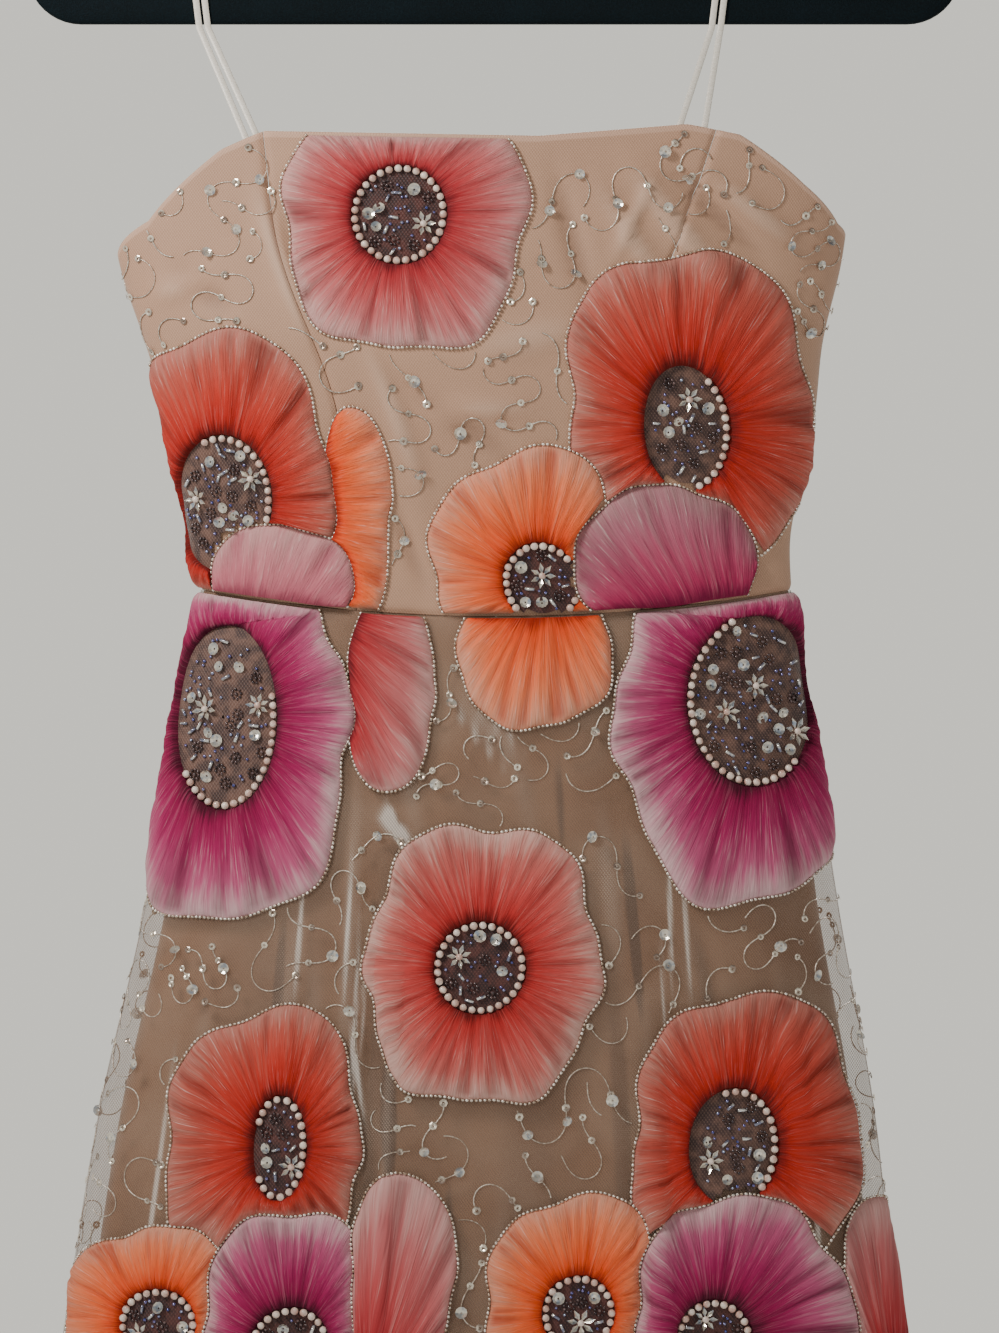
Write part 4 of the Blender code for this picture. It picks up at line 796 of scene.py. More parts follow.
# Half width and half height of each beaded heart in mm, where it isn't the usual one
USUAL_HEART = (20.0, 21.0)
HEARTS = {
    "flower_top_coral": (22.0, 23.0), "flower_left_red": (25.0, 32.0),
    "flower_right_red": (20.0, 29.0), "flower_waist_orange": (18.0, 19.0),
    "flower_side_magenta_left": (26.0, 43.0), "flower_side_magenta_right": (32.0, 40.0),
    "flower_centre_poppy": (21.0, 21.0), "flower_low_red_left": (12.0, 24.0),
    "flower_low_red_right": (21.0, 27.0), "flower_low_orange_left": (18.0, 16.0),
    "flower_low_magenta_left": (18.0, 18.0), "flower_low_orange_right": (17.0, 17.0),
    "flower_low_magenta_right": (18.0, 18.0),
}
# Where the pleats of each loose petal run from: distance from centre front, and drop, in mm
PLEATED_FROM = {
    "petal_left_orange": (-129, 459), "petal_left_pale": (-128, 560),
    "petal_right_mauve": (112, 556), "petal_waist_orange": (22, 492),
    "petal_left_coral": (-92, 504), "petal_side_coral": (200, 886), "petal_low_coral": (-52, 884),
}
# Chiffon colours from the heart to the rim; the first, deepest one is partly dye and partly painted
# shade next to the heart
CHIFFON = {
    "coral": ((104, 18, 26), (178, 46, 52), (192, 76, 78), (196, 110, 110), (204, 156, 150)),
    "red": ((104, 14, 10), (184, 34, 24), (196, 56, 42), (190, 84, 70), (184, 122, 108)),
    "orange": ((160, 34, 8), (242, 80, 28), (250, 106, 54), (242, 130, 88), (218, 152, 124)),
    "pale": ((160, 74, 92), (188, 100, 114), (200, 116, 126), (202, 134, 138), (198, 148, 146)),
    "mauve": ((120, 14, 58), (164, 40, 82), (178, 72, 102), (176, 104, 120), (168, 126, 128)),
    "magenta": ((74, 2, 32), (146, 8, 70), (166, 32, 90), (186, 86, 122), (208, 168, 172)),
    "poppy": ((106, 14, 14), (190, 46, 44), (200, 72, 68), (200, 106, 98), (210, 166, 154)),
}


def chiffon_finish(name):
    """Chiffon dyed from a deep heart to a dusty rim, streaked along its pleats, with painted shade in
    its valleys.
    """
    deep, full, middle, soft, rim = (tint(*colour) for colour in CHIFFON[name])
    finish = Finish("chiffon_" + name, full, 0.82, sheen_weight=0.22, sheen_roughness=0.4,
                    sheen_tint=soft, specular_ior_level=0.25)
    fan = finish.layer("fan")
    away = finish.layer("fan", 2)
    patches = finish.noise(finish.scaled(fan, (2.2, 2.2, 1.6)), 1.0, 2.0)
    fibres = finish.noise(finish.scaled(fan, (34.0, 34.0, 1.5)), 1.0, 3.0, 0.62)
    hairs = finish.noise(finish.scaled(fan, (95.0, 95.0, 3.0)), 1.0, 2.0, 0.6)
    place = away + (patches - 0.5) * 0.34 + (fibres - 0.5) * 0.42
    colour = finish.node("ValToRGB", {"stops": ((0.0, deep), (0.14, full), (0.40, middle),
                                                (0.72, soft), (1.0, rim))}, {0: place})
    colour = finish.mix(fibres.ramp(0.52, 0.74) * (away * 0.35 + 0.10), colour, rim)
    colour = finish.mix(hairs.ramp(0.58, 0.80) * (away * 0.42 + 0.14), colour, tint(246, 226, 218))
    colour = finish.mix((1.0 - hairs).ramp(0.50, 0.78) * 0.40, colour, deep)
    # Painted shade in the pleats' valleys and where the chiffon tucks under the heart
    colour = finish.mix(finish.layer("valley", 0) * 0.55, colour, deep)
    finish.set("Base Color", colour)
    finish.bump(fibres + hairs * 0.7, 0.0009, 0.8)
    return finish.material


chiffons = {name: chiffon_finish(name) for name in CHIFFON}
draw = np.random.default_rng(11)


class Flower:
    """One gathered flower or petal, by its place and its soft-lobed rim."""

    def __init__(self, row):
        (self.name, zone, across, drop, *reach, self.waves, self.phase, self.chiffon) = row
        self.lay = BACK if zone.endswith("_back") else FRONT
        self.bodice = zone.startswith("bodice")
        self.across = across / 1000 * (-1 if self.lay is BACK else 1)
        self.drop = drop / 1000
        self.reach = [side / 1000 for side in reach]
        self.petal = self.name.startswith("petal")
        self.heart = [side / 1000 for side in HEARTS.get(self.name, USUAL_HEART)]
        self.source = (self.across, self.drop)
        if self.petal:
            self.source = tuple(side / 1000 for side in PLEATED_FROM[self.name])
        self.centre = cloth(self.lay.angle(np.array(self.across), np.array(self.drop)), self.drop)
        self.over = []

    def rim(self, turn):
        """Reach of the rim in a direction from the flower's middle."""
        left, right, up, down = self.reach
        across = np.where(np.cos(turn) >= 0, right, left)
        along = np.where(np.sin(turn) >= 0, up, down)
        oval = ((np.abs(np.cos(turn)) / across) ** RIM_POWER
                + (np.abs(np.sin(turn)) / along) ** RIM_POWER) ** (-1 / RIM_POWER)
        return oval * (RIM_MEAN + RIM_LOBE * np.sin(self.waves * turn + self.phase)
                       + RIM_RIPPLE * np.sin((2 * self.waves + 1) * turn + 2 * self.phase))

    def covers(self, angle, drop, grow=0.0):
        """Whether a place is within the rim, grown by a distance."""
        across = self.lay.length(angle, drop) - self.across
        rise = self.drop - drop
        return np.hypot(across, rise) <= self.rim(np.arctan2(rise, across)) + grow

    def heart_reach(self, turn):
        """Reach of the beaded heart's rim in a direction."""
        wide, tall = self.heart
        return 1 / np.hypot(np.cos(turn) / wide, np.sin(turn) / tall)

    def free(self, angle, drop, edge=FLOWER_CLEARANCE, grow=FLOWER_UNDER):
        """Whether a place is within the flower's zone and under no later flower."""
        low, high = (top_edge, waist_above) if self.bodice else (waist_below, hem_at(HEM_DROP))
        room = (drop >= low(angle) + edge) & (drop <= high(angle) - edge)
        for other in self.over:
            room &= ~other.covers(angle, drop, grow)
        return room

    def runs(self, turns):
        """Where each pleat starts and ends, by its distance from the source."""
        step = PLEAT_STEP
        reach = np.arange(0.0 if self.petal else PLEAT_NEAR, PLEAT_FAR, step)

        def inside(turn, distance):
            across = self.source[0] + distance * np.cos(turn)
            drop = self.source[1] - distance * np.sin(turn)
            angle = self.lay.angle(across, drop)
            room = self.free(angle, drop) & self.covers(angle, drop)
            if not self.petal:
                room &= distance >= self.heart_reach(turn)
            return room

        seen = inside(turns[:, None], reach[None, :] + 0.0 * turns[:, None])
        first = seen.argmax(axis=1)
        beyond = ~seen & (np.arange(len(reach))[None, :] > first[:, None])
        last = beyond.argmax(axis=1) - 1
        start, end = reach[first], reach[last]
        for _ in range(PLEAT_HALVINGS):
            step /= 2
            start = start - np.where(inside(turns, start - step), step, 0.0)
            end = end + np.where(inside(turns, end + step), step, 0.0)
        return start, end, seen.any(axis=1) & (end - start > PLEAT_LEAST)


flowers = [Flower(row) for row in FLOWERS]
for number, flower in enumerate(flowers):
    for other in flowers[number + 1:]:
        gap = np.linalg.norm(flower.centre - other.centre)
        near = gap < (max(flower.reach) + max(other.reach)) * NEAR_SHARE
        if near and other.bodice == flower.bodice:
            flower.over.append(other)


def petal_turns(flower, count):
    """The directions from a petal's source that meet it."""
    round_it = np.linspace(0.0, 2 * np.pi, 181)
    reach = flower.rim(round_it)
    across = flower.across + reach * np.cos(round_it) - flower.source[0]
    rise = flower.source[1] - flower.drop + reach * np.sin(round_it)
    middle = math.atan2(flower.source[1] - flower.drop, flower.across - flower.source[0])
    turn = (np.arctan2(rise, across) - middle + np.pi) % (2 * np.pi) - np.pi
    return middle + np.linspace(turn.min(), turn.max(), count)


def gathered(flower, pleats, rings):
    """The pleated chiffon of one flower as a grid of pleats and rings."""
    if flower.petal:
        turns = petal_turns(flower, pleats)
    else:
        turns = np.linspace(0.0, 2 * np.pi, pleats, endpoint=False)
    start, end, kept = flower.runs(turns)
    if flower.petal:
        turns, start, end = turns[kept], start[kept], end[kept]
        kept = kept[kept]
    even = np.linspace(*PLEAT_EVEN, rings - len(PLEAT_HEAD) - len(PLEAT_TAIL))
    shares = np.concatenate([PLEAT_HEAD, even, PLEAT_TAIL])
    turn, share = turns[:, None], shares[None, :]
    distance = start[:, None] + (end - start)[:, None] * share
    inner, outer = distance - start[:, None], end[:, None] - distance
    body = (1 - np.exp(-outer / RIM_ROUND)) * (0.50 + 0.50 * np.clip(inner / 0.005, 0, 1) ** 0.7)
    body = body * (1.0 - 0.38 * share)
    gather = 0.0
    phases = draw.uniform(0, 2 * np.pi, len(PLEAT_WAVES))
    for (waves, high), phase in zip(PLEAT_WAVES, phases):
        wander = 1.2 * np.sin(2.4 * share + phase)
        gather = gather + high * np.cos(waves * turn + phase + wander)
    valley = 0.0
    for _ in range(PETAL_VALLEYS if flower.petal else VALLEYS):
        centre, wide = draw.uniform(turns[0], turns[-1]), draw.uniform(0.035, 0.075)
        away = (turn - centre + np.pi) % (2 * np.pi) - np.pi + 0.06 * share
        valley = valley + np.exp(-(away / wide) ** 2) * share ** 1.2
    swell = np.clip(outer / 0.003, 0, 1) * np.clip(0.25 + share * 1.4, 0, 1)
    waves = GATHER_HIGH * gather - VALLEY_DEEP * valley
    height = np.maximum(FLOWER_BASE + FLOWER_CREST * body + swell * waves, FLOWER_BASE)
    if not flower.petal:
        height[:, 0] = FLOWER_BASE
    across = flower.source[0] + distance * np.cos(turn)
    drop = flower.source[1] - distance * np.sin(turn)
    angle = flower.lay.angle(across, drop)
    points = moved_out(cloth, angle, drop, height)
    faces = strip_faces(len(turns), len(shares), wrap=not flower.petal)
    faces = faces[kept[faces[:, 0] // len(shares)] & kept[faces[:, 3] // len(shares)]]
    fan = np.stack([np.cos(turn) + 0 * share, np.sin(turn) + 0 * share, share + 0 * turn], axis=-1)
    # Painted shade, kept as the valley value: the deep valleys and troughs of the pleats, and the tuck
    # under the heart
    dark = np.clip(valley * 0.9 + np.clip(-gather - 0.25, 0, 1) * 0.8, 0, 1) * np.clip(swell, 0, 1)
    painted_tuck_shade = np.exp(-inner / RIM_ROUND) * np.clip((end - start)[:, None] / 0.02, 0, 1)
    dark = np.maximum(dark, 0.75 * painted_tuck_shade)
    values = {"fan": fan.reshape(-1, 3), "valley": np.repeat(dark.reshape(-1, 1), 3, axis=1)}
    made = add_piece("chiffon_" + flower.name, points, faces, chiffons[flower.chiffon], values)
    cleaned(made)
    return worn(made, flower.name)


for flower in flowers:
    made = gathered(flower, *(FINE if flower.lay is FRONT and flower.drop < PICTURE_LOW else PLAIN))
    left, right, up, down = flower.reach
    area = sum(face.area for face in made.data.polygons) * FLAT_AREA
    wide, long = (left + right) * FLAT_WIDER, (up + down) * FLAT_WIDER
    min(max(area, FLAT_LEAST * wide * long), wide * long)


# Beaded hearts: ovals of dark net in the middle of each flower, which its pleats tuck under.
HEART_OUT, HEART_DOME, HEART_TUCK = 0.0010, 0.0009, 1.02
HEART_SIDES, HEART_RINGS = 56, 7
# The widest hearts, past this half width, are of the paler net
HEART_TAUPE = 0.026


def heart_finish(name, dark, light, thread):
    """Clouded dark net."""
    finish = Finish(name, dark, 0.6, sheen_weight=0.2)
    place = finish.node("TexCoord", output="Object")
    cloud = finish.noise(place, 160.0, 3.0)
    lines = net_lines(finish, NET_PITCH * 1.2)
    colour = finish.mix(cloud.ramp(0.38, 0.66), dark, light)
    finish.set("Base Color", finish.mix(lines.ramp(0.55, 0.9) * 0.35, colour, thread))
    finish.bump(lines + cloud, 0.0003, 0.8)
    return finish.material


heart_nets = {
    "deep": heart_finish("heart_maroon", tint(42, 13, 13), tint(82, 38, 32), tint(118, 70, 60)),
    "taupe": heart_finish("heart_taupe", tint(60, 36, 32), tint(108, 76, 64), tint(148, 116, 100)),
}


def settled(lay, across, drop, out, spin=0.0, lean=0.0, toward=0.0):
    """Points sewn to the cloth with the turn of each piece, leaning a little to one side."""
    angle = lay.angle(across, drop)
    points, normal, right = surface_frame(cloth, angle, drop)
    up = np.cross(normal, right)
    spin, lean, toward = (np.broadcast_to(v, angle.shape)[:, None] for v in (spin, lean, toward))
    z = normal * np.cos(lean) + (right * np.cos(toward) + up * np.sin(toward)) * np.sin(lean)
    x = right * np.cos(spin) + up * np.sin(spin)
    x = unit_length(x - z * (x * z).sum(axis=1, keepdims=True))
    y = np.cross(z, x)
    turn = np.stack([np.arctan2(y[:, 2], z[:, 2]), -np.arcsin(np.clip(x[:, 2], -1, 1)),
                     np.arctan2(x[:, 1], x[:, 0])], axis=1)
    return points + normal * np.broadcast_to(out, angle.shape)[:, None], turn


blossoms = [flower for flower in flowers if not flower.petal]
for flower in blossoms:
    turns = np.linspace(0, 2 * np.pi, HEART_SIDES, endpoint=False)[:, None]
    shares = np.linspace(0.0, 1.0, HEART_RINGS)[None, :] ** 0.8
    reach = flower.heart_reach(turns) * HEART_TUCK * np.maximum(shares, 0.02)
    across = flower.across + reach * np.cos(turns)
    drop = flower.drop - reach * np.sin(turns)
    angle = flower.lay.angle(across, drop)
    free = flower.free(angle, drop, 0.0006, 0.0002)
    out = HEART_OUT + HEART_DOME * (1 - shares ** 2) + 0.0 * turns
    points = moved_out(cloth, angle, drop, out)
    faces = strip_faces(len(turns), HEART_RINGS, wrap=True)
    faces = faces[free.reshape(-1)[faces].all(axis=1)]
    if not len(faces):
        continue
    finish = heart_nets["taupe" if max(flower.heart) > HEART_TAUPE else "deep"]
    heart = add_piece("heart_" + flower.name, points, faces, finish,
                      {"weave": weave_places(angle, drop)})
    cleaned(heart, 1e-5)
    worn(heart)


# Rim ropes: strings of silver-gold seed beads couched along the rim of every flower and petal.
ROPE_SPACING, ROPE_LENGTH, ROPE_RADIUS, ROPE_OUT = 0.0021, 0.00098, 0.00078, 0.0010
ROPE_BEYOND, ROPE_STEPS, ROPE_SHORTEST = 0.0005, 480, 6
ROPE_EDGE, ROPE_UNDER = 0.0010, 0.0016
ROPE_SPLIT_DROP = 0.80


class Rig:
    """A Geometry Nodes tree in the making, with its named inputs."""

    def __init__(self, name, inputs):
        self.tree = bpy.data.node_groups.new(name, "GeometryNodeTree")
        face = self.tree.interface
        face.new_socket("Geometry", in_out="INPUT", socket_type="NodeSocketGeometry")
        face.new_socket("Geometry", in_out="OUTPUT", socket_type="NodeSocketGeometry")
        for label, kind in inputs:
            face.new_socket(label, in_out="INPUT", socket_type="NodeSocket" + kind)
        self.given = self.tree.nodes.new("NodeGroupInput").outputs
        self.result = self.tree.nodes.new("NodeGroupOutput").inputs

    def node(self, kind, settings=None, values=None):
        made = self.tree.nodes.new(kind)
        for key, value in (settings or {}).items():
            setattr(made, key, value)
        for key, value in (values or {}).items():
            if isinstance(value, bpy.types.NodeSocket):
                self.tree.links.new(value, made.inputs[key])
            else:
                made.inputs[key].default_value = value
        return made.outputs

    def end(self, geometry):
        """Makes the instances real, gives them their finish and ends the tree."""
        real = self.node("GeometryNodeRealizeInstances", None, {0: geometry})[0]
        smooth = self.node("GeometryNodeSetShadeSmooth", None,
                           {0: real, "Shade Smooth": self.given["Smooth"]})[0]
        done = self.node("GeometryNodeSetMaterial", None,
                         {0: smooth, "Material": self.given["Finish"]})[0]
        self.tree.links.new(done, self.result[0])

    def grown(self, name, mesh, values, slot):
        """Runs the tree on a mesh of points or lines and keeps the plain result."""
        made = bpy.data.objects.new(name, mesh)
        bpy.context.collection.objects.link(made)
        step = made.modifiers.new("grown", "NODES")
        step.node_group = self.tree
        for item in self.tree.interface.items_tree:
            if item.in_out == "INPUT" and item.name in values:
                step[item.identifier] = values[item.name]
        seen = made.evaluated_get(bpy.context.evaluated_depsgraph_get())
        result = bpy.data.meshes.new_from_object(seen)
        made.modifiers.remove(step)
        made.data = result
        worn(made)


def lines_mesh(name, runs):
    """A mesh of open lines."""
    mesh = bpy.data.meshes.new(name)
    edges, first = [], 0
    for run in runs:
        edges += [(first + k, first + k + 1) for k in range(len(run) - 1)]
        first += len(run)
    mesh.from_pydata(np.concatenate(runs).tolist(), edges, [])
    return mesh


def unbroken(kept, closed=False):
    """The runs of places that are kept, each as an array of indices."""
    count = len(kept)
    places = np.arange(count)
    if closed and kept.all():
        return [np.append(places, 0)]
    if closed and kept.any():
        places = np.roll(places, -int(np.argmin(kept)))
    marks = np.flatnonzero(np.diff(np.concatenate([[0], kept[places].astype(int), [0]])))
    return [places[a:b] for a, b in zip(marks[::2], marks[1::2])]


strung = Rig("strung_beads", (("Spacing", "Float"), ("Length", "Float"), ("Radius", "Float"),
                              ("Smooth", "Bool"), ("Finish", "Material")))
string = strung.node("GeometryNodeMeshToCurve", None, {0: strung.given["Geometry"]})[0]
string = strung.node("GeometryNodeResampleCurve", {"mode": "LENGTH"},
                     {"Curve": string, "Length": strung.given["Spacing"]})[0]
bead = strung.node("GeometryNodeMeshIcoSphere", None, {"Radius": 1.0, "Subdivisions": 1})[0]
bead_size = strung.node("ShaderNodeCombineXYZ", None,
                        {0: strung.given["Length"], 1: strung.given["Radius"],
                         2: strung.given["Radius"]})[0]
tangent = strung.node("GeometryNodeInputTangent")[0]
turned = strung.node("FunctionNodeAlignRotationToVector", {"axis": "X"}, {"Vector": tangent})[0]
strung.end(strung.node("GeometryNodeInstanceOnPoints", None,
                       {"Points": string, "Instance": bead, "Rotation": turned,
                        "Scale": bead_size})[0])

rope_silver = Finish("rope_silver", tint(220, 206, 188), 0.24, metallic=0.5)
rope_tone = rope_silver.tones(420.0, 0.35, 0.65, tint(176, 152, 130), tint(250, 242, 230))
rope_silver.set("Roughness", rope_tone * 0.3 + 0.10)


def rope_runs(flower):
    """The stretches of a flower's rim that no later flower covers."""
    turns = np.linspace(0.0, 2 * np.pi, ROPE_STEPS, endpoint=False)
    reach = flower.rim(turns) + ROPE_BEYOND
    across, drop = flower.across + reach * np.cos(turns), flower.drop - reach * np.sin(turns)
    angle = flower.lay.angle(across, drop)
    points = moved_out(cloth, angle, drop, np.full(len(turns), ROPE_OUT))
    free = flower.free(angle, drop, ROPE_EDGE, ROPE_UNDER)
    return [points[run] for run in unbroken(free, True) if len(run) >= ROPE_SHORTEST]


ROPE_GROUPS = (
    ("rim_rope_bodice", lambda flower: flower.bodice),
    ("rim_rope_skirt_upper", lambda flower: not flower.bodice and flower.drop < ROPE_SPLIT_DROP),
    ("rim_rope_skirt_lower", lambda flower: not flower.bodice and flower.drop >= ROPE_SPLIT_DROP),
)
for rope_name, belongs in ROPE_GROUPS:
    runs = [run for flower in flowers if belongs(flower) for run in rope_runs(flower)]
    strung.grown(rope_name, lines_mesh(rope_name, runs),
                 {"Spacing": ROPE_SPACING, "Length": ROPE_LENGTH, "Radius": ROPE_RADIUS,
                  "Smooth": True, "Finish": rope_silver.material}, "silver_beads")


# Heart beads: a ring of pearls round each heart, and inside it clear sequin blooms with pearls in
# the middle, cup sequins, glass bugles, medallions of dark beads and blue-violet chips.
PEARL_RADIUS, PEARL_SPACING, PEARL_IN, PEARL_FREE = 0.00185, 0.00425, 0.0012, 0.0022
PEARL_OUT, PEARL_GROWTH = 0.0014, (0.93, 1.05)
# Kind of trimming, the least of each, mm2 of heart for each one, the radius that it needs, its
# size, its height over the net, and how far it may lean
TRIMMINGS = (
    ("bloom", 1, 1500, 0.0066, 0.0066, 0.0010, 0.3), ("cup_heart", 0, 420, 0.0028, 0.0028, 0.0012, 1.0),
    ("medallion", 2, 330, 0.0032, 0.00078, 0.0011, 0.0), ("bugle", 0, 260, 0.0019, 0.0021, 0.0014, 0.5),
    ("seed_blue", 0, 75, 0.0010, 0.00085, 0.0011, 0.0))
TRIMMING_TRIES, TRIMMING_IN, TRIMMING_CLOSE, TRIMMING_SIDE = 60, 0.0042, 0.94, 82.0
TRIMMING_LEAN, TRIMMING_GROWTH, ANY_TURN = (0, 0.5), (0.88, 1.12), (0, 6.28)
MEDALLION_BEADS, MEDALLION_REACH, MEDALLION_MIDDLE = 8, 0.0023, 0.0010
BLOOM_PEARL, BLOOM_PEARL_OUT = 0.00165, 0.0026
BLOOM_PETALS = 7
# Where the pearls run round a heart in degrees, for the hearts that they only follow in part
PEARL_ARCS = {
    "flower_left_red": (-38, 105), "flower_right_red": (-78, 62),
    "flower_side_magenta_left": (-125, 22), "flower_side_magenta_right": (108, 305),
    "flower_low_red_left": (-120, 128), "flower_low_red_right": (-75, 100),
}


def unit(name, points, faces):
    """A small piece that is sewn on again and again."""
    mesh = bpy.data.meshes.new(name)
    mesh.from_pydata(points, [], faces)
    made = bpy.data.objects.new(name, mesh)
    bpy.context.collection.objects.link(made)
    return made


def ball(subdivisions):
    """Points and faces of a round bead."""
    bm = bmesh.new()
    bmesh.ops.create_icosphere(bm, subdivisions=subdivisions, radius=1.0)
    points = [tuple(vert.co) for vert in bm.verts]
    faces = [[vert.index for vert in face.verts] for face in bm.faces]
    bm.free()
    return points, faces


def turned_rings(rings, sides, wrap=False):
    """Rings of points, each a radius and a height, joined by faces."""
    points = [(radius * math.cos(2 * math.pi * k / sides), radius * math.sin(2 * math.pi * k / sides),
               height) for radius, height in rings for k in range(sides)]
    pairs = list(zip(range(len(rings) - 1), range(1, len(rings))))
    if wrap:
        pairs.append((len(rings) - 1, 0))
    faces = [(a * sides + k, a * sides + (k + 1) % sides, b * sides + (k + 1) % sides, b * sides + k)
             for a, b in pairs for k in range(sides)]
    return points, faces


def bloom_unit():
    """Seven clear pointed sequins set round a middle, tips raised."""
    points, faces = [], []
    for k in range(BLOOM_PETALS):
        first, turn = len(points), 2 * math.pi * k / BLOOM_PETALS
        for reach, aside, height in ((0.14, 0.0, 0.05), (0.58, -0.19, 0.30), (0.58, 0.0, 0.16),
                                     (0.58, 0.19, 0.30), (1.0, 0.0, 0.34)):
            points.append((reach * math.cos(turn) - aside * math.sin(turn),
                           reach * math.sin(turn) + aside * math.cos(turn), height))
        faces += [(first, first + 1, first + 2), (first, first + 2, first + 3),
                  (first + 1, first + 4, first + 2), (first + 2, first + 4, first + 3)]
    return points, faces


def bugle_unit():
    """A short glass tube lying along its first axis."""
    points, faces = turned_rings(((0.5, -0.5), (0.5, 0.5)), 6)
    points = [(z * 2.0, x * 0.7, y * 0.7) for x, y, z in points]
    return points, faces + [tuple(range(5, -1, -1)), tuple(range(6, 12))]


units = {
    "pearl": unit("pearl_unit", *ball(2)), "seed": unit("seed_unit", *ball(1)),
    "ring": unit("ring_unit", *turned_rings(((0.34, 0.0), (0.68, 0.10), (1.0, 0.0), (0.68, -0.06)),
                                            7, True)),
    "cup": unit("cup_unit", *turned_rings(((1.0, 0.30), (0.55, 0.04), (0.16, 0.0)), 10)),
    "bloom": unit("bloom_unit", *bloom_unit()), "bugle": unit("bugle_unit", *bugle_unit()),
}
sewn = Rig("sewn_on", (("Unit", "Object"), ("Smooth", "Bool"), ("Finish", "Material")))
sewn_unit = sewn.node("GeometryNodeObjectInfo", None, {"Object": sewn.given["Unit"]})["Geometry"]
sewn_turn = sewn.node("GeometryNodeInputNamedAttribute", {"data_type": "FLOAT_VECTOR"},
                      {"Name": "turn"})[0]
sewn_turn = sewn.node("FunctionNodeEulerToRotation", None, {0: sewn_turn})[0]
sewn_size = sewn.node("GeometryNodeInputNamedAttribute", {"data_type": "FLOAT"},
                      {"Name": "size"})[0]
sewn.end(sewn.node("GeometryNodeInstanceOnPoints", None,
                   {"Points": sewn.given["Geometry"], "Instance": sewn_unit,
                    "Rotation": sewn_turn, "Scale": sewn_size})[0])


class Sewing:
    """Pieces of one kind waiting to be sewn on."""

    def __init__(self):
        self.rows = {}

    def add(self, kind, lay, across, drop, out, size, spin=0.0, lean=0.0, toward=0.0):
        """Keeps places on one side of the dress, each with its size and turn."""
        row = [np.atleast_1d(np.asarray(v, float)) for v in
               (across, drop, out, size, spin, lean, toward)]
        count = len(row[0])
        row = [np.broadcast_to(v, (count,)) for v in row]
        self.rows.setdefault((kind, lay is BACK), []).append(np.stack(row, axis=1))

    def sew(self, name, kind, finish, slot, smooth=False):
        """Makes one piece of all that wait of a kind."""
        points, turns, sizes = [], [], []
        for back in (False, True):
            if (kind, back) not in self.rows:
                continue
            table = np.concatenate(self.rows[kind, back])
            place, turn = settled(BACK if back else FRONT, *table[:, :3].T, *table[:, 4:].T)
            points.append(place)
            turns.append(turn)
            sizes.append(table[:, 3])
        mesh = bpy.data.meshes.new(name)
        mesh.from_pydata(np.concatenate(points).tolist(), [], [])
        kept = mesh.attributes.new("turn", "FLOAT_VECTOR", "POINT")
        kept.data.foreach_set("vector", np.concatenate(turns).astype(np.float32).ravel())
        kept = mesh.attributes.new("size", "FLOAT", "POINT")
        kept.data.foreach_set("value", np.concatenate(sizes).astype(np.float32))
        sewn.grown(name, mesh, {"Unit": units[kind.split("_")[0]], "Smooth": smooth,
                                "Finish": finish.material}, slot)


hearts = Sewing()
draw = np.random.default_rng(23)


def fill_heart(flower):
    """Places the trimmings of one heart, the large ones first, none over another."""
    taken, lay = [], flower.lay
    full = math.pi * flower.heart[0] * flower.heart[1] * 1e6
    for kind, least, room, radius, size, out, leans in TRIMMINGS:
        count, done = max(least, round(full / room)), 0
        for _ in range(TRIMMING_TRIES * count):
            if done == count:
                break
            turn, share = draw.uniform(0, 2 * math.pi), math.sqrt(draw.uniform(0, 1))
            spin, lean = draw.uniform(*ANY_TURN), draw.uniform(*TRIMMING_LEAN)
            toward, grow = draw.uniform(*ANY_TURN), draw.uniform(*TRIMMING_GROWTH)
            reach = (flower.heart_reach(turn) - TRIMMING_IN - radius * 0.35) * share
            x, z = reach * math.cos(turn), reach * math.sin(turn)
            if any(math.hypot(x - a, z - b) < (radius + r) * TRIMMING_CLOSE for a, b, r in taken):
                continue
            across, drop = flower.across + x, flower.drop - z
            angle = lay.angle(np.array([across]), np.array([drop]))
            if not flower.free(angle, np.array([drop]), 0.002 + radius * 0.5, radius * 0.6)[0]:
                continue
            sides = lay.angle(np.array([across - radius, across + radius]), np.full(2, drop))
            if np.abs(sides - lay.origin).max() > TRIMMING_SIDE:
                continue
            taken.append((x, z, radius))
            done += 1
            if kind == "medallion":
                around = np.arange(MEDALLION_BEADS) * 2 * math.pi / MEDALLION_BEADS + spin
                hearts.add("seed_dark", lay,
                           np.append(across + MEDALLION_REACH * np.cos(around), across),
                           np.append(drop + MEDALLION_REACH * np.sin(around), drop), HEART_OUT + out,
                           np.append(np.full(MEDALLION_BEADS, size), MEDALLION_MIDDLE))
                continue
            spin = spin if leans else 0.0
            hearts.add(kind, lay, across, drop, HEART_OUT + out, size * grow, spin, lean * leans,
                       toward)
            if kind == "bloom":
                hearts.add("pearl", lay, across, drop, HEART_OUT + BLOOM_PEARL_OUT, BLOOM_PEARL)


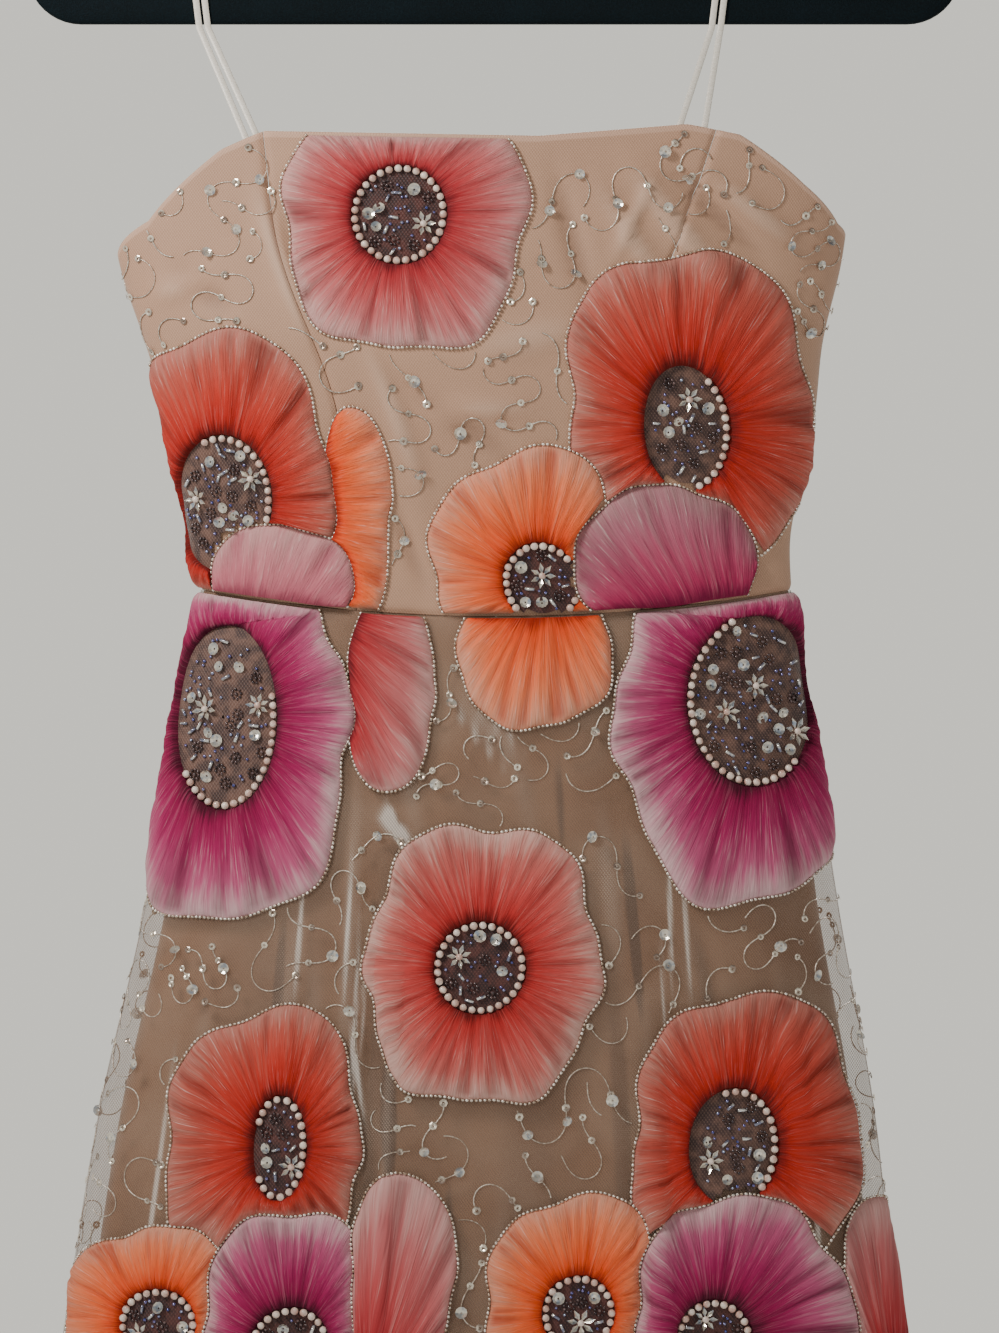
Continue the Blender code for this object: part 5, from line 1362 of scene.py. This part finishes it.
for flower in blossoms:
    first, last = np.radians(PEARL_ARCS.get(flower.name, (0, 360)))
    fine = np.linspace(first, last, 400)
    reach = flower.heart_reach(fine) - PEARL_IN
    x, z = reach * np.cos(fine), reach * np.sin(fine)
    run = np.concatenate([[0], np.cumsum(np.hypot(np.diff(x), np.diff(z)))])
    count = max(3, round(run[-1] / PEARL_SPACING))
    stops = np.linspace(0, run[-1], count, endpoint=flower.name in PEARL_ARCS)
    across = flower.across + np.interp(stops, run, x)
    drop = flower.drop - np.interp(stops, run, z)
    free = flower.free(flower.lay.angle(across, drop), drop, PEARL_FREE, PEARL_FREE)
    if free.any():
        hearts.add("pearl", flower.lay, across[free], drop[free], HEART_OUT + PEARL_OUT,
                   PEARL_RADIUS * draw.uniform(*PEARL_GROWTH, int(free.sum())))
    fill_heart(flower)

pearl = Finish("pearl", tint(226, 196, 180), 0.26, coat_weight=0.5, coat_roughness=0.12)
pearl.tones(230.0, 0.35, 0.65, tint(206, 166, 150), tint(240, 222, 208))
clear = Finish("clear_sequin", tint(196, 200, 198), 0.12, metallic=0.55, coat_weight=0.4)
clear.stops(300.0, (0.30, tint(150, 160, 170)), (0.45, tint(214, 210, 200)),
            (0.58, tint(236, 226, 206)), (0.72, tint(176, 190, 206)))
clear.set("Alpha", 0.86)
dark_bead = Finish("dark_bead", tint(58, 40, 44), 0.2, coat_weight=0.6)
dark_bead.tones(500.0, 0.4, 0.7, tint(44, 28, 32), tint(110, 86, 84))
glass = Finish("bugle_glass", tint(170, 170, 176), 0.1, metallic=0.5, coat_weight=0.6)
glass.tones(350.0, 0.4, 0.6, tint(126, 128, 150), tint(224, 222, 216))
chip = Finish("violet_chip", tint(112, 116, 176), 0.12, metallic=0.6, coat_weight=0.5)
chip.stops(420.0, (0.34, tint(74, 84, 150)), (0.50, tint(132, 122, 176)),
           (0.66, tint(176, 190, 214)))
hearts.sew("heart_pearls", "pearl", pearl, "pearl_beads", True)
hearts.sew("heart_blooms", "bloom", clear, "sequins")
hearts.sew("heart_cups", "cup_heart", clear, "sequins")
hearts.sew("heart_medallions", "seed_dark", dark_bead, "silver_beads", True)
hearts.sew("heart_bugles", "bugle", glass, "silver_beads", True)
hearts.sew("heart_chips", "seed_blue", chip, "silver_beads", True)


# Vermicelli: silvery chain stitch that wanders over the net between the flowers in loops, with a
# small ring sequin at its bends and clear cup sequins between them.
THREAD_RADIUS, THREAD_OUT, THREAD_STEP = 0.00034, 0.0004, 0.0015
THREAD_CELL, THREAD_HALF, THREAD_APART = 0.036, 0.110, 0.0058
LOOP_LENGTH, LOOP_SWING = 0.074, 1.75
THREAD_MARGIN, THREAD_SHORTEST, THREAD_SIDES = 0.0030, 13, 3
# A ring sequin sits where the line bends this sharply, and a cup at every so many steps between
BEND_LEVEL, CUP_FIRST, CUP_EVERY = 0.16, 8, 17
THREAD_DROPS, THREAD_ACROSS = (0.29, 1.30), (-0.34, 0.34)
RING_SIZES, RING_LEAN, RING_OUT, RING_AT_ENDS = (0.0016, 0.0021), (0, 0.30), 0.0008, 0.6
CUP_SIZES, CUP_LEAN, CUP_OUT, CUP_SHARE = (0.0024, 0.0031), (0.1, 0.7), 0.0011, 0.45
ground = Sewing()
draw = np.random.default_rng(37)


class Cover:
    """Which places between the flowers already hold a thread."""

    size, first_across, first_drop = 0.0025, -0.65, 0.20

    def __init__(self):
        self.taken = np.zeros((520, 460), bool)

    def index(self, across, drop):
        columns, rows = self.taken.shape
        return (np.clip(((across - self.first_across) / self.size).astype(int), 0, columns - 1),
                np.clip(((drop - self.first_drop) / self.size).astype(int), 0, rows - 1))

    def clear(self, across, drop):
        return ~self.taken[self.index(across, drop)]

    def add(self, across, drop):
        reach = np.arange(-THREAD_APART, THREAD_APART + 1e-6, self.size)
        for dx in reach:
            for dz in reach:
                if math.hypot(dx, dz) <= THREAD_APART:
                    self.taken[self.index(across + dx, drop + dz)] = True


def bare(lay, across, drop, margin):
    """Whether places lie on bare net, clear of flowers and seams."""
    angle = lay.angle(across, drop)
    low = np.where(drop < waist_line(angle), top_edge(angle) + margin, waist_line(angle) + margin)
    high = np.where(drop < waist_line(angle), waist_line(angle) - margin, HEM_DROP - margin * 2)
    room = (drop > low) & (drop < high) & (np.abs(angle - lay.origin) < 88.5)
    for flower in flowers:
        close = np.abs(drop - flower.drop) < 0.14
        if close.any():
            room &= ~flower.covers(angle, drop, margin)
    return room


def meander(count):
    """A looping line about its own middle, as steps across and down."""
    heading, phase = draw.uniform(0, 2 * math.pi), draw.uniform(0, 2 * math.pi)
    swing, loop = LOOP_SWING * draw.uniform(0.8, 1.12), LOOP_LENGTH * draw.uniform(0.75, 1.2)
    run = np.arange(-count, count + 1) * THREAD_STEP
    turn = heading + swing * np.sin(2 * math.pi * run / loop + phase) + 3.0 * run * draw.uniform(-1, 1)
    x, z = np.cumsum(np.cos(turn)) * THREAD_STEP, np.cumsum(np.sin(turn)) * THREAD_STEP
    bend = np.abs(np.cos(2 * math.pi * run / loop + phase)) < BEND_LEVEL
    return x - x[count], z - z[count], bend


threads = []
for lay in (FRONT, BACK):
    cover = Cover()
    for drop_from in np.arange(*THREAD_DROPS, THREAD_CELL):
        for across_from in np.arange(*THREAD_ACROSS, THREAD_CELL):
            shift = draw.uniform(-0.4, 0.4, 2) * THREAD_CELL
            x, z, bend = meander(int(THREAD_HALF / THREAD_STEP))
            across, drop = across_from + shift[0] + x, drop_from + shift[1] + z
            room = bare(lay, across, drop, THREAD_MARGIN) & cover.clear(across, drop)
            for run in unbroken(room):
                if len(run) < THREAD_SHORTEST:
                    continue
                angle = lay.angle(across[run], drop[run])
                threads.append(moved_out(cloth, angle, drop[run], np.full(len(run), THREAD_OUT)))
                cover.add(across[run], drop[run])
                marks = [k for k in run[2:-2] if bend[k] and not bend[k - 1]]
                marks += [k for k in (run[0], run[-1]) if draw.uniform() < RING_AT_ENDS]
                marks = np.array(marks, int)
                if len(marks):
                    ground.add("ring", lay, across[marks], drop[marks], RING_OUT,
                               draw.uniform(*RING_SIZES, len(marks)), 0.0,
                               draw.uniform(*RING_LEAN, len(marks)), draw.uniform(*ANY_TURN, len(marks)))
                spots = run[CUP_FIRST:-CUP_FIRST:CUP_EVERY]
                spots = spots[draw.uniform(size=len(spots)) < CUP_SHARE]
                if len(spots):
                    ground.add("cup_ground", lay, across[spots], drop[spots], CUP_OUT,
                               draw.uniform(*CUP_SIZES, len(spots)), 0.0,
                               draw.uniform(*CUP_LEAN, len(spots)), draw.uniform(*ANY_TURN, len(spots)))

stitched = Rig("stitched_line", (("Radius", "Float"), ("Smooth", "Bool"), ("Finish", "Material")))
stitch_line = stitched.node("GeometryNodeMeshToCurve", None, {0: stitched.given["Geometry"]})[0]
stitch_round = stitched.node("GeometryNodeCurvePrimitiveCircle", None,
                             {"Resolution": THREAD_SIDES, "Radius": stitched.given["Radius"]})[0]
stitched.end(stitched.node("GeometryNodeCurveToMesh", None,
                           {"Curve": stitch_line, "Profile Curve": stitch_round})[0])
silver_thread = Finish("silver_thread", tint(214, 200, 184), 0.35, metallic=0.45)
silver_thread.tones(900.0, 0.35, 0.65, tint(176, 156, 138), tint(238, 228, 214))
ring_sequin = Finish("ring_sequin", tint(214, 198, 178), 0.2, metallic=0.6, coat_weight=0.3)
ring_sequin.tones(160.0, 0.35, 0.65, tint(150, 130, 116), tint(238, 226, 206))
stitched.grown("vermicelli_thread", lines_mesh("vermicelli_thread", threads),
               {"Radius": THREAD_RADIUS, "Smooth": True, "Finish": silver_thread.material},
               "silver_thread")
ground.sew("ring_sequins", "ring", ring_sequin, "sequins")
ground.sew("cup_sequins", "cup_ground", clear, "sequins")
for used in units.values():
    bpy.data.objects.remove(used)


# Hanger: a slim plastic band bent into a bar and two sloping arms, covered with dark flock.
HANGER_BAR_DROP, HANGER_BAR_HALF = 0.2248, 0.1960
HANGER_END_RADIUS, HANGER_SLOPE = 0.0200, math.radians(26.0)
HANGER_BAND, HANGER_THICK = 0.0124, 0.0060
HANGER_CROWN_HALF, HANGER_CROWN_RISE = 0.0120, 0.0030
HANGER_CROWN_FLAT, HANGER_CROWN_STEP = 0.7, 0.0012
HANGER_BAND_CORNER = 0.0018
HANGER_BAR_STEPS, HANGER_END_STEPS = 9, 19
HANGER_ARM_PLACES = (0.18, 0.14, 0.10, 0.07, 0.045, 0.024)


def arm_drop(across):
    """Drop of the middle of the hanger's arm at a distance from the hook's line."""
    end_across = HANGER_BAR_HALF + HANGER_END_RADIUS * math.sin(HANGER_SLOPE)
    end_drop = HANGER_BAR_DROP - HANGER_END_RADIUS * (1 + math.cos(HANGER_SLOPE))
    return end_drop - (end_across - abs(across)) * math.tan(HANGER_SLOPE)


def sweep(points, widths, profile, closed):
    """A smooth band or wire along a path. widths gives each point's direction across."""
    points, widths = np.asarray(points, float), np.asarray(widths, float)
    if closed:
        along = np.roll(points, -1, axis=0) - np.roll(points, 1, axis=0)
    else:
        along = np.gradient(points, axis=0)
    along = unit_length(along)
    widths = unit_length(widths - along * (widths * along).sum(axis=1, keepdims=True))
    side = np.cross(along, widths)
    rings = (points[:, None] + widths[:, None] * profile[None, :, :1]
             + side[:, None] * profile[None, :, 1:])
    count, sides = len(points), len(profile)
    k, j = np.meshgrid(np.arange(count if closed else count - 1), np.arange(sides), indexing="ij")
    after, turn = (k + 1) % count, (j + 1) % sides
    faces = np.stack([k * sides + j, k * sides + turn, after * sides + turn, after * sides + j],
                     axis=-1).reshape(-1, 4).tolist()
    if not closed:
        faces += [list(range(sides)), list(range((count - 1) * sides, count * sides))]
    return rings, faces


def round_profile(radius, sides):
    """A wire's outline."""
    turn = np.linspace(0, 2 * np.pi, sides, endpoint=False)
    return np.stack([np.cos(turn), np.sin(turn)], axis=1) * radius


def band_profile(half_thick, half_wide, corner):
    """A flat band's outline with rounded corners."""
    found = []
    for first, sx, sy in ((0, 1, 1), (90, -1, 1), (180, -1, -1), (270, 1, -1)):
        for turn in np.radians((first + 10, first + 45, first + 80)):
            found.append((sx * (half_thick - corner) + corner * math.cos(turn),
                          sy * (half_wide - corner) + corner * math.sin(turn)))
    return np.array(found)


def hanger_path():
    """The middle of the hanger's band, all round: bar, ends, arms and crown."""
    half = [(HANGER_BAR_HALF * share, HANGER_BAR_DROP)
            for share in np.linspace(0, 1, HANGER_BAR_STEPS)]
    for turn in np.linspace(-math.pi / 2, math.pi / 2 - HANGER_SLOPE, HANGER_END_STEPS)[1:]:
        half.append((HANGER_BAR_HALF + HANGER_END_RADIUS * math.cos(turn),
                     HANGER_BAR_DROP - HANGER_END_RADIUS * (1 + math.sin(turn))))
    half += [(across, arm_drop(across)) for across in HANGER_ARM_PLACES]
    crown = arm_drop(HANGER_CROWN_HALF) - HANGER_CROWN_RISE
    half.append((HANGER_CROWN_HALF * HANGER_CROWN_FLAT, crown + HANGER_CROWN_STEP))
    path = half + [(0.0, crown)] + [(-x, drop) for x, drop in half[:0:-1]]
    return [(x, 0.0, -drop) for x, drop in path]


flock = Finish("hanger_flock", tint(4, 16, 22), 0.8, sheen_weight=0.05, sheen_roughness=0.5,
               sheen_tint=tint(60, 110, 116), specular_ior_level=0.15)
flock_place = flock.node("TexCoord", output="Object")
flock_nap = flock.noise(flock_place, 1800.0, 2.0)
flock_wear = flock.noise(flock_place, 30.0, 3.0)
flock_light = flock_nap.ramp(0.35, 0.75) * 0.5 + flock_wear.ramp(0.4, 0.8) * 0.2
flock.set("Base Color", flock.mix(flock_light, tint(2, 10, 14), tint(8, 28, 36)))
flock.bump(flock_nap, 0.0004, 0.8)
path = hanger_path()
rings, faces = sweep(path, [(0, 1, 0)] * len(path),
                     band_profile(HANGER_THICK / 2, HANGER_BAND / 2, HANGER_BAND_CORNER), True)
hanger = add_piece("flocked_hanger", rings, faces, flock.material, closed=True)
worn(hanger, "hanger_body")


# Hook: polished steel wire bent into a hook, its foot set in the hanger's crown.
HOOK_WIRE, HOOK_RADIUS = 0.00175, 0.0218
HOOK_START, HOOK_END = math.radians(-30.0), math.radians(205.0)
HOOK_SHANK_TOP, HOOK_LEAD = 0.0680, 0.0120
HOOK_SIDES, HOOK_BEND_STEPS, HOOK_TURN_STEPS = 16, 19, 60


def hook_path():
    """The middle of the hook's wire: foot, shank, a soft bend and the round hook."""
    centre = -(HOOK_RADIUS - HOOK_WIRE)
    end = np.array([HOOK_RADIUS * math.cos(HOOK_START), centre + HOOK_RADIUS * math.sin(HOOK_START)])
    lead = end - HOOK_LEAD * np.array([-math.sin(HOOK_START), math.cos(HOOK_START)])
    foot = np.array([0.0, -HOOK_SHANK_TOP])
    rise = foot + (0.0, HOOK_LEAD)
    crown = arm_drop(HANGER_CROWN_HALF) - HANGER_CROWN_RISE
    route = [np.array([0.0, -crown + HANGER_BAND / 2 + SEAM_GAP])]
    for t in np.linspace(0.0, 1.0, HOOK_BEND_STEPS):
        route.append((1 - t) ** 3 * foot + 3 * t * (1 - t) ** 2 * rise
                     + 3 * t * t * (1 - t) * lead + t ** 3 * end)
    for turn in np.linspace(HOOK_START, HOOK_END, HOOK_TURN_STEPS)[1:]:
        route.append(np.array([HOOK_RADIUS * math.cos(turn), centre + HOOK_RADIUS * math.sin(turn)]))
    return [(x, 0.0, z) for x, z in route]


steel = Finish("hook_steel", tint(190, 190, 188), 0.22, metallic=1.0)
steel_lines = steel.noise(steel.node("TexCoord", output="Object"), 700.0, 2.0)
steel.set("Roughness", steel_lines * 0.20 + 0.14)
steel.bump(steel_lines, 0.00003, 0.4)
path = hook_path()
rings, faces = sweep(path, [(0, 1, 0)] * len(path), round_profile(HOOK_WIRE, HOOK_SIDES), False)
hook = add_piece("steel_hook", rings, faces, steel.material, closed=True)
worn(hook, "hanger_hook")


# Hanging tapes: two loops of ivory satin ribbon, sewn inside the bodice's upper edge, which pass
# in front of the bar and over each arm of the hanger.
TAPE_WIDTH, TAPE_THICK, TAPE_SEWN, TAPE_EASE = 0.0030, 0.0010, 0.0160, 0.0007
TAPE_EDGE_DEPTH, TAPE_FOOT_DROP, TAPE_BAR_EASE = 0.0010, 0.3000, 0.0020
TAPE_CORNER_DOWN, TAPE_CORNER_IN = 0.0012, 0.0011
TAPE_STEPS = 9
# Outline of the ribbon, in halves of its width and thickness
TAPE_OUTLINE = ((-1, -0.3), (-0.8, -0.8), (0, -1), (0.8, -0.8), (1, -0.3),
                (1, 0.3), (0.8, 0.8), (0, 1), (-0.8, 0.8), (-1, 0.3))
# Distances from the hook's line: where its ends are sewn, where it passes the bar, and its arm
TAPES = (("hanging_tape_left", -0.1170, -0.1122, -0.1418, -0.1377, -0.1625),
         ("hanging_tape_right", 0.0985, 0.0865, 0.1095, 0.1053, 0.1309))
satin = Finish("tape_satin", tint(232, 226, 214), 0.32, sheen_weight=0.3)
satin_place = satin.node("TexCoord", output="Object")
satin_ribs = satin.noise(satin.scaled(satin_place, (1.0, 1.0, 6.0)), 900.0, 2.0)
satin.set("Base Color", satin.mix(satin_ribs.ramp(0.35, 0.7), tint(214, 206, 192),
                                  tint(240, 235, 226)))
satin.bump(satin_ribs, 0.00010, 0.6)


def flat_cloth(angle, drop):
    """The outer cloth without its creases."""
    return cloth(angle, drop, crease_share=0.0)


tape_outline = np.array(TAPE_OUTLINE) * (TAPE_WIDTH / 2, TAPE_THICK / 2)
for tape_name, first_foot, second_foot, first_bar, second_bar, arm in TAPES:
    face = HANGER_THICK / 2 + SEAM_GAP + TAPE_THICK / 2
    bar_low = HANGER_BAR_DROP + HANGER_BAND / 2 + TAPE_BAR_EASE
    bar_high = HANGER_BAR_DROP - HANGER_BAND / 2 - TAPE_BAR_EASE
    inside = np.array([-(BODICE_THICK + TAPE_EASE + TAPE_THICK / 2)])
    sewn_ends = []
    for foot in (first_foot, second_foot):
        middle, half, _, _ = section(np.array(TAPE_FOOT_DROP))
        angle = np.array([math.degrees(math.asin((foot - middle) / half))])
        sewn_ends.append([moved_out(flat_cloth, angle, top_edge(angle) + depth, inside)[0]
                          for depth in (TAPE_SEWN, TAPE_EDGE_DEPTH)])
    reach = HANGER_BAND / 2 / math.cos(HANGER_SLOPE)
    top = -arm_drop(arm) + reach + (SEAM_GAP + TAPE_THICK / 2) / math.cos(HANGER_SLOPE)
    low = -arm_drop(arm) - reach - TAPE_BAR_EASE
    side = 1.0 if arm > 0 else -1.0
    lie = (math.cos(HANGER_SLOPE), 0.0, -side * math.sin(HANGER_SLOPE))
    level = (1.0, 0.0, 0.0)
    over_arm = [(-face, low), (-face, top - TAPE_CORNER_DOWN), (-face + TAPE_CORNER_IN, top),
                (face - TAPE_CORNER_IN, top), (face, top - TAPE_CORNER_DOWN), (face, low)]
    stops = np.array([
        *sewn_ends[0], (first_bar - side * TAPE_BAR_EASE, -face, -bar_low),
        (first_bar, -face, -bar_high), *((arm, y, z) for y, z in over_arm),
        (second_bar, -face, -bar_high), (second_bar - side * TAPE_BAR_EASE, -face, -bar_low),
        *sewn_ends[1][::-1]])
    lies = np.array([level] * 4 + [lie] * len(over_arm) + [level] * 4)
    steps = np.linspace(0, len(stops) - 1, (len(stops) - 1) * TAPE_STEPS + 1)
    route, widths = (np.stack([np.interp(steps, np.arange(len(stops)), values[:, k])
                               for k in range(3)], axis=1) for values in (stops, lies))
    rings, faces = sweep(route, widths, tape_outline, False)
    tape = add_piece("satin_" + tape_name, rings, faces, satin.material, closed=True)
    worn(tape, tape_name)


# Zip: the slider and the pull of the concealed zip at centre back, both of bright metal. The CAD
# nodes have their true shape and only get their finish here.
zip_metal = Finish("zip_nickel", tint(196, 190, 180), 0.3, metallic=1.0)
zip_marks = zip_metal.noise(zip_metal.node("TexCoord", output="Object"), 1400.0, 2.0)
zip_metal.set("Roughness", zip_marks * 0.25 + 0.16)
zip_metal.bump(zip_marks, 0.00003, 0.5)
for node_name in ("zip_slider", "zip_pull"):
    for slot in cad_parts[node_name].material_slots:
        slot.material = zip_metal.material
